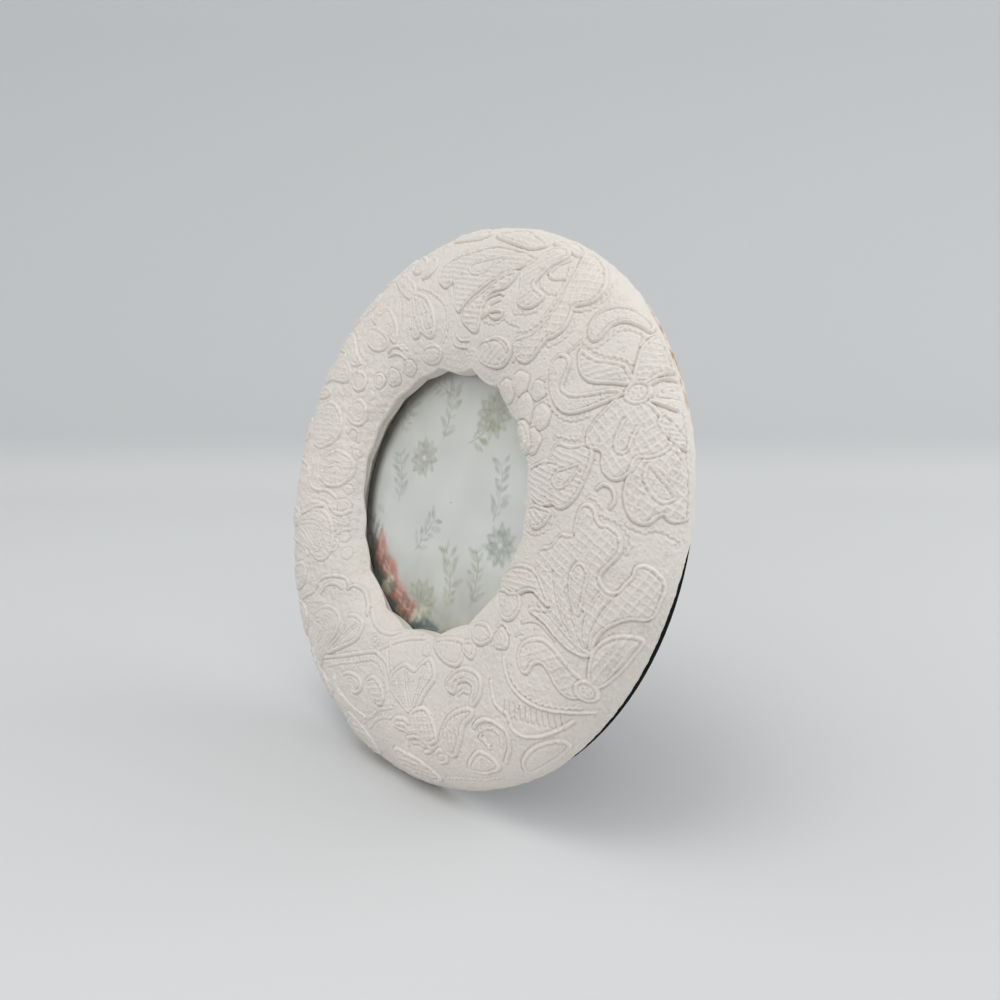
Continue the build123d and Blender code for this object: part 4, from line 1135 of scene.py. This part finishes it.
def glass_material():
    """Clear float glass that shows the print and mirrors the room by its angle."""
    look = Nodes("clear_glass")
    clear = look.fill_all(look.node("ShaderNodeBsdfTransparent"), Color=(0.97, 0.985, 0.98))
    gloss = look.node("ShaderNodeBsdfGlossy")
    look.fill_all(gloss, Roughness=look.spread(look.noise(9, 3, 0.6), 0.03, 0.11))
    fresnel = look.fill_all(look.node("ShaderNodeFresnel"), IOR=1.5)
    # Only the front of each face mirrors the room
    facing = look.node("ShaderNodeNewGeometry").outputs["Backfacing"]
    mirror = look.node("ShaderNodeMix", data_type="FLOAT")
    for socket, value in ((0, facing), (2, fresnel.outputs["Fac"]), (3, 0.0)):
        look.fill(mirror.inputs[socket], value)
    blend = look.node("ShaderNodeMixShader")
    for socket, value in ((0, mirror.outputs[0]), (1, clear.outputs["BSDF"]), (2, gloss.outputs["BSDF"])):
        look.fill(blend.inputs[socket], value)
    look.fill(look.output.inputs["Surface"], blend.outputs["Shader"])
    return look.material


def print_material():
    """Uncoated paper with the printed colours and the painted lip shadow kept on the sheet's points."""
    look = Nodes("printed_paper")
    ink_and_painted_shadow = look.node("ShaderNodeAttribute", attribute_name="ink_and_painted_shadow").outputs["Color"]
    fibre = look.mix(look.noise(1400, 3, 0.6), (0.95, 0.95, 0.95), (1.04, 1.04, 1.04))
    look.set(Base_Color=look.mix(1.0, ink_and_painted_shadow, fibre, "MULTIPLY"))
    look.set(Roughness=look.spread(look.noise(300, 2), 0.5, 0.65))
    look.bump(look.noise(2200, 3), 0.1, 0.0001)
    return look.material


def card_material():
    """Grey pulp card."""
    look = Nodes("grey_card")
    pulp = look.ramp(look.noise(700, 4, 0.7), [(0.35, (0.26, 0.245, 0.22)), (0.7, (0.36, 0.34, 0.31))])
    look.set(Base_Color=pulp, Roughness=0.9)
    look.bump(look.noise(1200, 4, 0.7), 0.3, 0.0002)
    return look.material


def ribbon_material():
    """Woven black satin ribbon."""
    look = Nodes("black_ribbon")
    bands = look.node("ShaderNodeTexWave", wave_type="BANDS", bands_direction="X")
    weave = look.fill_all(bands, Scale=700, Distortion=1.5, Vector=look.coordinates).outputs["Fac"]
    look.set(Base_Color=look.ramp(weave, [(0.2, (0.012, 0.012, 0.014)), (0.8, (0.04, 0.04, 0.045))]))
    look.set(Roughness=0.42, Sheen_Weight=0.25)
    look.bump(weave, 0.4, 0.0001)
    return look.material


# Print

PAPER_TONE = (0.71, 0.675, 0.66)
OLIVE = (0.33, 0.31, 0.20)
TAUPE = (0.36, 0.31, 0.27)
GREY = (0.30, 0.30, 0.27)
CORAL = (0.58, 0.20, 0.14)
GREEN = (0.07, 0.12, 0.11)
CREAM = (0.66, 0.60, 0.48)
PETAL_VEIN = (0.66, 0.65, 0.6)
TOP_CLOUD = (0.46, 0.44, 0.38)
LOW_CLOUD = (0.40, 0.37, 0.28)
LEFT_CLOUD = (0.42, 0.41, 0.37)
# Painted shadow of the lip, laid over the print's left edge
PAINTED_LIP_SHADOW = (0.055, 0.047, 0.04)
FLOWER_STRENGTH = 0.72
SPRIG_STRENGTH = 0.78

# Each open flower: place, radius, petals and tint
FLOWERS = (((-20, 14), 8, 11, TAUPE), ((14, 34), 9, 12, OLIVE), ((30, -10), 8, 11, GREY),
           ((-6, -40), 10, 13, OLIVE))

# Each sprig: place, heading, leaves, size and tint
SPRIGS = (((-30, -6), 100, 6, 3.2, GREY), ((-12, 20), 60, 6, 3.4, TAUPE), ((2, 22), 20, 4, 3.4, OLIVE),
          ((24, -4), 70, 7, 3, GREY), ((-16, -22), 50, 5, 3.2, GREY), ((8, -40), 80, 7, 3.4, OLIVE),
          ((20, -36), 60, 6, 3.6, OLIVE), ((-38, 20), 60, 5, 3.2, TAUPE), ((-8, 38), 160, 6, 3.0, TAUPE))

# Each leaf of the warm cluster: direction, reach, length, breadth, turn and tint
CLUSTER = ((222, 47, 13, 5, 130, GREEN), (246, 49, 12, 5, -20, GREEN), (268, 48, 9, 4, 15, GREEN),
           (214, 44, 8, 4, 100, CORAL), (228, 42, 9, 4.5, 140, CORAL), (240, 44, 9, 4, 170, CORAL),
           (254, 45, 8, 3.6, 10, CORAL), (234, 47, 6, 3, 60, CREAM), (262, 44, 6, 2.6, 40, CREAM))


def soft_edge(value, width):
    """1 inside and 0 outside, with a soft step at zero."""
    return 1 / (1 + np.exp(np.clip(value / width, -30, 30)))


class Paper:
    """The colours of the printed sheet at its points."""

    def __init__(self, u, v):
        self.u = u
        self.v = v
        self.colour = np.stack([tone + 0 * u for tone in PAPER_TONE], axis=-1)
        self.colour *= (1 + 0.05 * waves(u, v, seed=21, size=30, layers=3))[..., None]
        self.worn = np.clip(0.62 + 0.5 * waves(u, v, seed=71, size=6, layers=3), 0.15, 1)
        self.rng = np.random.default_rng(3)

    def wash(self, mask, tint, strength):
        """Lays a tint over the sheet wherever the mask is."""
        share = strength * mask[..., None]
        self.colour = self.colour * (1 - share) + share * np.array(tint)

    def leaf(self, centre, length, breadth, turn):
        """A pointed leaf, 1 inside and 0 outside."""
        angle = math.radians(turn)
        x = ((self.u - centre[0]) * math.cos(angle) + (self.v - centre[1]) * math.sin(angle)) / length
        y = ((self.v - centre[1]) * math.cos(angle) - (self.u - centre[0]) * math.sin(angle)) / breadth
        return soft_edge(np.abs(y) - (1 - np.clip(np.abs(x), 0, 1) ** 1.6) + 2.0 * (np.abs(x) > 1), 0.12)

    def sprig(self, place, heading, leaves, size, tint):
        """A wandering stem with a leaf to each side at every step."""
        for _ in range(leaves):
            heading += self.rng.uniform(-6, 14)
            place = polar(place, size, math.radians(heading))
            self.wash(self.leaf(place, 0.8 * size, 0.09 * size, heading) * self.worn, tint, SPRIG_STRENGTH)
            for side in (-1, 1):
                turn = math.radians(heading + side * self.rng.uniform(30, 65))
                long = size * self.rng.uniform(0.6, 1.1)
                tip = polar(place, 1.1 * long, turn)
                side_leaf = self.leaf(tip, long, self.rng.uniform(0.25, 0.42) * long, math.degrees(turn))
                self.wash(side_leaf * self.worn, tint, SPRIG_STRENGTH * self.rng.uniform(0.5, 1.0))

    def flower(self, place, radius, petals, tint):
        """Three rings of petals, each petal with a pale vein."""
        for share, count in ((1.0, petals), (0.66, petals - 2), (0.36, petals - 4)):
            for step in range(count):
                turn = 2 * math.pi * (step + share) / count
                tip = polar(place, 0.62 * share * radius, turn)
                petal = self.leaf(tip, 0.42 * share * radius, 0.2 * share * radius, math.degrees(turn))
                self.wash(petal * self.worn, tint, FLOWER_STRENGTH)
                vein = self.leaf(tip, 0.3 * share * radius, 0.1 * share * radius, math.degrees(turn))
                self.wash(vein * self.worn, PETAL_VEIN, 0.5 * FLOWER_STRENGTH)

    def clouds(self):
        """Large soft washes over the top, the bottom and the left of the sheet."""
        u = self.u
        v = self.v
        cloud = np.clip(0.5 + 0.5 * waves(u, v, seed=51, size=24, layers=3), 0, 1)
        self.wash(np.clip((v - 8) / 34, 0, 1) * (0.5 + 0.5 * cloud), TOP_CLOUD, 0.4)
        self.wash(np.clip((-v - 18) / 20, 0, 1) * (0.3 + 0.7 * cloud), LOW_CLOUD, 0.75)
        left = np.clip((-u - 12) / 30, 0, 1) * np.clip((v + 12) / 20, 0, 1)
        self.wash(left * cloud, LEFT_CLOUD, 0.5)

    def cluster(self):
        """The warm cluster near the lower left edge, with blots of green and cream round it."""
        for angle, reach, length, breadth, turn, tint in CLUSTER:
            spot = polar((0, 0), reach, math.radians(angle))
            self.wash(self.leaf(spot, length, breadth, turn), tint, 0.88)
            self.wash(self.leaf(spot, 0.8 * length, 0.12 * breadth, turn), CREAM, 0.35)
        blots = waves(self.u, self.v, seed=61, size=7, layers=3)
        away = np.hypot(self.u, self.v)
        turned = np.degrees(np.arctan2(self.v, self.u))
        low_left = np.clip((away - 38) / 6, 0, 1) * soft_edge(np.abs(turned + 128) - 38, 6)
        self.wash(low_left * np.clip(blots * 3, 0, 1), GREEN, 0.6)
        self.wash(low_left * np.clip(-blots * 3 - 0.8, 0, 1), CREAM, 0.5)

    def shade(self):
        """Darkens the left edge of the sheet with a painted shadow of the lip."""
        away = np.hypot(self.u, self.v)
        turned = np.degrees(np.arctan2(self.v, self.u)) % 360
        edge = np.clip((away - 43.5) / 4.5, 0, 1) ** 1.5 * np.clip(1.25 - np.abs(turned - 170) / 75, 0, 1)
        self.wash(edge, PAINTED_LIP_SHADOW, 0.85)


def paint_print(u, v):
    """A quiet generic print: pale grey paper, faint flowers and sprigs, a warm cluster below, and a painted
    shadow of the lip along the left edge.
    """
    paper = Paper(u, v)
    paper.clouds()
    for flower in FLOWERS:
        paper.flower(*flower)
    for sprig in SPRIGS:
        paper.sprig(*sprig)
    paper.cluster()
    # Painted shadow of the lip along the sheet's left edge
    paper.shade()
    return np.clip(paper.colour, 0, 1)


def build_print(material):
    """The loose round print behind the glass."""
    node_low, node_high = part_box("photo_insert")
    radius = (node_high[0] - node_low[0]) / 2 / MM
    front, back = PRINT_LEVELS
    angle = np.linspace(0, 2 * math.pi, PRINT_COLUMNS, endpoint=False)
    share = np.concatenate([np.linspace(PRINT_HUB, 1, PRINT_RINGS), [1, PRINT_HUB]])
    level = np.concatenate([np.full(PRINT_RINGS, front), [back, back]])
    u = radius * share[:, None] * np.cos(angle)
    v = radius * share[:, None] * np.sin(angle)
    points = to_row(u, v, level[:, None]).reshape(-1, 3)
    faces = grid_faces(len(share), PRINT_COLUMNS, wrap_rows=True, wrap_columns=True)
    sheet = new_mesh("photo_print", points, faces, material)
    ink_and_painted_shadow = sheet.data.attributes.new("ink_and_painted_shadow", "FLOAT_COLOR", "POINT")
    colours = paint_print(u, v).reshape(-1, 3)
    ink_and_painted_shadow.data.foreach_set("color", np.hstack([colours, np.ones((len(colours), 1))]).astype(np.float32).ravel())
    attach(sheet, "frame")
    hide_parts("photo_insert")
    return sheet


# Soft pieces

def round_edges(thing, rounding):
    """A small radius in millimetres along the sharp edges."""
    bevel = thing.modifiers.new("edge", "BEVEL")
    bevel.width = rounding * MM
    bevel.segments = 2
    bevel.limit_method = "ANGLE"
    bevel.angle_limit = ROUNDED_ANGLE


def soften_node(node, name, body, material):
    """A cloth piece in the place of a CAD node, with its edges rounded over."""
    source = bpy.data.objects[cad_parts[node].name]
    piece = bpy.data.objects.new(name, source.data.copy())
    bpy.context.scene.collection.objects.link(piece)
    piece.data.materials.clear()
    piece.data.materials.append(material)
    round_edges(piece, VELVET_ROUNDING)
    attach(piece, body)
    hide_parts(node)
    # The cloth is glued flat, so its cut is its own outline
    return piece


def ribbon_line():
    """The ribbon's middle in v and n: tab on the panel, pulled straight, tab on the open leg."""
    down = np.array([-math.cos(LEG_OPENING), -math.sin(LEG_OPENING)])
    out = np.array([-math.sin(LEG_OPENING), math.cos(LEG_OPENING)])
    leg_end = HINGE_PLACE + RIBBON_LEG_DROP * down + RIBBON_LEG_LIFT * out
    panel_end = np.array(RIBBON_PANEL_END)
    return np.stack([panel_end - (RIBBON_TAB, 0), panel_end, leg_end, leg_end + RIBBON_TAB * down]).round(3)


def ribbon_points(corners, travel):
    """The points of the ribbon's upper and lower side, with thicker woven edges and a little slack."""
    spots = np.linspace(0, travel[-1], RIBBON_ROWS)
    middle = np.stack([np.interp(spots, travel, corners[:, i]) for i in (0, 1)], axis=1)
    along = np.gradient(middle, axis=0)
    along /= np.hypot(along[:, 0], along[:, 1])[:, None]
    across = np.linspace(-RIBBON_WIDTH / 2, RIBBON_WIDTH / 2, RIBBON_COLUMNS)
    selvedge = 1 + SELVEDGE_SWELL * (np.abs(across) > RIBBON_WIDTH / 2 - RIBBON_SELVEDGE)
    slack = RIBBON_SLACK * np.sin(np.pi * np.clip((spots - travel[1]) / (travel[2] - travel[1]), 0, 1))
    layers = []
    for side in (1, -1):
        rise = side * RIBBON_THICKNESS / 2 * selvedge / (1 + SELVEDGE_SWELL)
        rise = rise[None, :] + slack[:, None]
        v = middle[:, 0][:, None] - along[:, 1][:, None] * rise
        n = middle[:, 1][:, None] + along[:, 0][:, None] * rise
        layers.append(to_row(across[None, :] + 0 * v, v, n).reshape(-1, 3))
    return np.vstack(layers)


def ribbon_faces():
    """Quads over both sides of the ribbon and round its four edges."""
    top = grid_faces(RIBBON_ROWS, RIBBON_COLUMNS)
    below = RIBBON_ROWS * RIBBON_COLUMNS
    long_edge = (RIBBON_COLUMNS, RIBBON_ROWS - 1)
    short_edge = (1, RIBBON_COLUMNS - 1)
    edges = []
    for first, (step, count) in ((0, long_edge), (RIBBON_COLUMNS - 1, long_edge),
                                 (0, short_edge), (below - RIBBON_COLUMNS, short_edge)):
        corner = first + step * np.arange(count)
        edges.append(np.stack([corner, corner + step, corner + step + below, corner + below], axis=1))
    return np.vstack([top, top[:, ::-1] + below, *edges])


def build_ribbon(material):
    """The woven stay ribbon, stapled flat at both ends and pulled straight between panel and leg."""
    corners = ribbon_line()
    travel = np.concatenate([[0], np.cumsum(np.hypot(*np.diff(corners, axis=0).T))])
    ribbon = new_mesh("stay_ribbon_cloth", ribbon_points(corners, travel), ribbon_faces(), material)
    outward = bmesh.new()
    outward.from_mesh(ribbon.data)
    bmesh.ops.recalc_face_normals(outward, faces=outward.faces)
    outward.to_mesh(ribbon.data)
    outward.free()
    # A point just before the panel end, and the leg end, worked out in metres; neither is kept
    early = corners[1] - RIBBON_EARLY_BEND * (corners[2] - corners[1])
    to_row(0, *early).tolist()
    to_row(0, *corners[2]).tolist()
    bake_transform(ribbon)
    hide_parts("stay_ribbon")
    return ribbon


def finish_node(node, material, rounding=0.0):
    """Gives a CAD node its material and, for metal and board, a small edge radius."""
    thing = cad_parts[node]
    if not thing.material_slots:
        thing.data.materials.append(material)
    for place in thing.material_slots:
        place.material = material
    if rounding:
        round_edges(thing, rounding)


# Studio

def build_floor():
    """A pale sweep: floor and a far backdrop in one curve."""
    look = Nodes("studio_sweep")
    tone = look.ramp(look.noise(1.5, 2), [(0.3, (0.635, 0.64, 0.643)), (0.7, (0.66, 0.665, 0.668))])
    height = look.fill_all(look.node("ShaderNodeSeparateXYZ"), Vector=look.coordinates).outputs["Z"]
    wall = look.share(height, 0.0, 0.03, "SMOOTHSTEP")
    look.set(Base_Color=look.mix(wall, tone, (0.545, 0.555, 0.56)), Roughness=0.9, Specular_IOR_Level=0.1)
    curve = [(SWEEP_NEAR, 0.0)]
    for turn in np.radians(np.linspace(0, 90, SWEEP_STEPS)):
        curve.append((SWEEP_START + SWEEP_RADIUS * math.sin(turn), SWEEP_RADIUS * (1 - math.cos(turn))))
    curve.append((SWEEP_START + SWEEP_RADIUS, SWEEP_TOP))
    across = np.array([math.cos(SWEEP_AZIMUTH), math.sin(SWEEP_AZIMUTH)])
    away = np.array([-math.sin(SWEEP_AZIMUTH), math.cos(SWEEP_AZIMUTH)])
    points = []
    for reach, height in curve:
        for side in (-SWEEP_HALF_WIDTH, SWEEP_HALF_WIDTH):
            x, y = away * reach + across * side
            points.append((x, y, height))
    floor = new_mesh("studio_floor", points, grid_faces(len(curve), 2), look.material)


def area_light(name, place, target, size, power, colour=(1, 1, 1)):
    """A soft square lamp aimed at a point."""
    data = bpy.data.lights.new(name, "AREA")
    data.shape = "SQUARE"
    data.size = size
    data.energy = power
    data.color = colour
    lamp = bpy.data.objects.new(name, data)
    bpy.context.scene.collection.objects.link(lamp)
    lamp.location = place
    lamp.rotation_euler = (Vector(target) - Vector(place)).to_track_quat("-Z", "Y").to_euler()


def build_studio():
    """World light, lamps and the camera of the photograph."""
    build_floor()
    world = bpy.data.worlds.new("studio")
    bpy.context.scene.world = world
    world.use_nodes = True
    background = world.node_tree.nodes["Background"]
    background.inputs["Color"].default_value = (0.97, 0.985, 1.0, 1.0)
    background.inputs["Strength"].default_value = 0.92
    area_light("key_lamp", (0.05, -0.42, 1.2), (0, 0, 0.1), 0.5, 2.9, (1.0, 0.985, 0.97))
    area_light("back_fill", (0.75, 0.75, 0.75), (0.12, 0.1, 0), 0.9, 3.4)
    camera = bpy.data.cameras.new("photo_camera")
    camera.sensor_width = 36.0
    camera.lens = 36.0
    camera.clip_start = 0.01
    view = bpy.data.objects.new("photo_camera", camera)
    bpy.context.scene.collection.objects.link(view)
    view.location = Vector((0, CENTRE_Y, CENTRE_Z)) + Vector(CAMERA_PLACE)
    view.rotation_euler = Vector(CAMERA_HEADING).to_track_quat("-Z", "Y").to_euler()
    bpy.context.scene.camera = view
    bpy.context.scene.view_settings.view_transform = "Standard"


build_ring(resin_material())
build_print(print_material())
board = board_material()
velvet = velvet_material()
hinge_steel = steel_material("hinge_steel", (0.50, 0.49, 0.48), 0.36, 900)
button_steel = steel_material("button_steel", (0.55, 0.54, 0.52), 0.30, 700)
screw_steel = steel_material("screw_steel", (0.62, 0.61, 0.58), 0.28, 1200)
staple_wire = steel_material("staple_wire", (0.62, 0.61, 0.60), 0.30, 1500)
for node in ("backing_board", "back_panel", "easel_leg"):
    finish_node(node, board, BOARD_ROUNDING)
for node in ("hinge_leaf_panel", "hinge_leaf_leg", "hinge_pin", "panel_rivets", "leg_rivets"):
    finish_node(node, hinge_steel, SHEET_ROUNDING)
for number in range(1, 5):
    finish_node(f"turn_button_{number}", button_steel, BUTTON_ROUNDING)
finish_node("button_screws", screw_steel, WIRE_ROUNDING)
for node in ("panel_staple", "leg_staple"):
    finish_node(node, staple_wire, WIRE_ROUNDING)
finish_node("glass_pane", glass_material())
finish_node("filler_card", card_material())
soften_node("backing_velvet", "board_flock", "frame", velvet)
soften_node("panel_velvet", "panel_flock", "frame", velvet)
soften_node("leg_velvet", "leg_flock", "leg", velvet)
build_ribbon(ribbon_material())
build_studio()
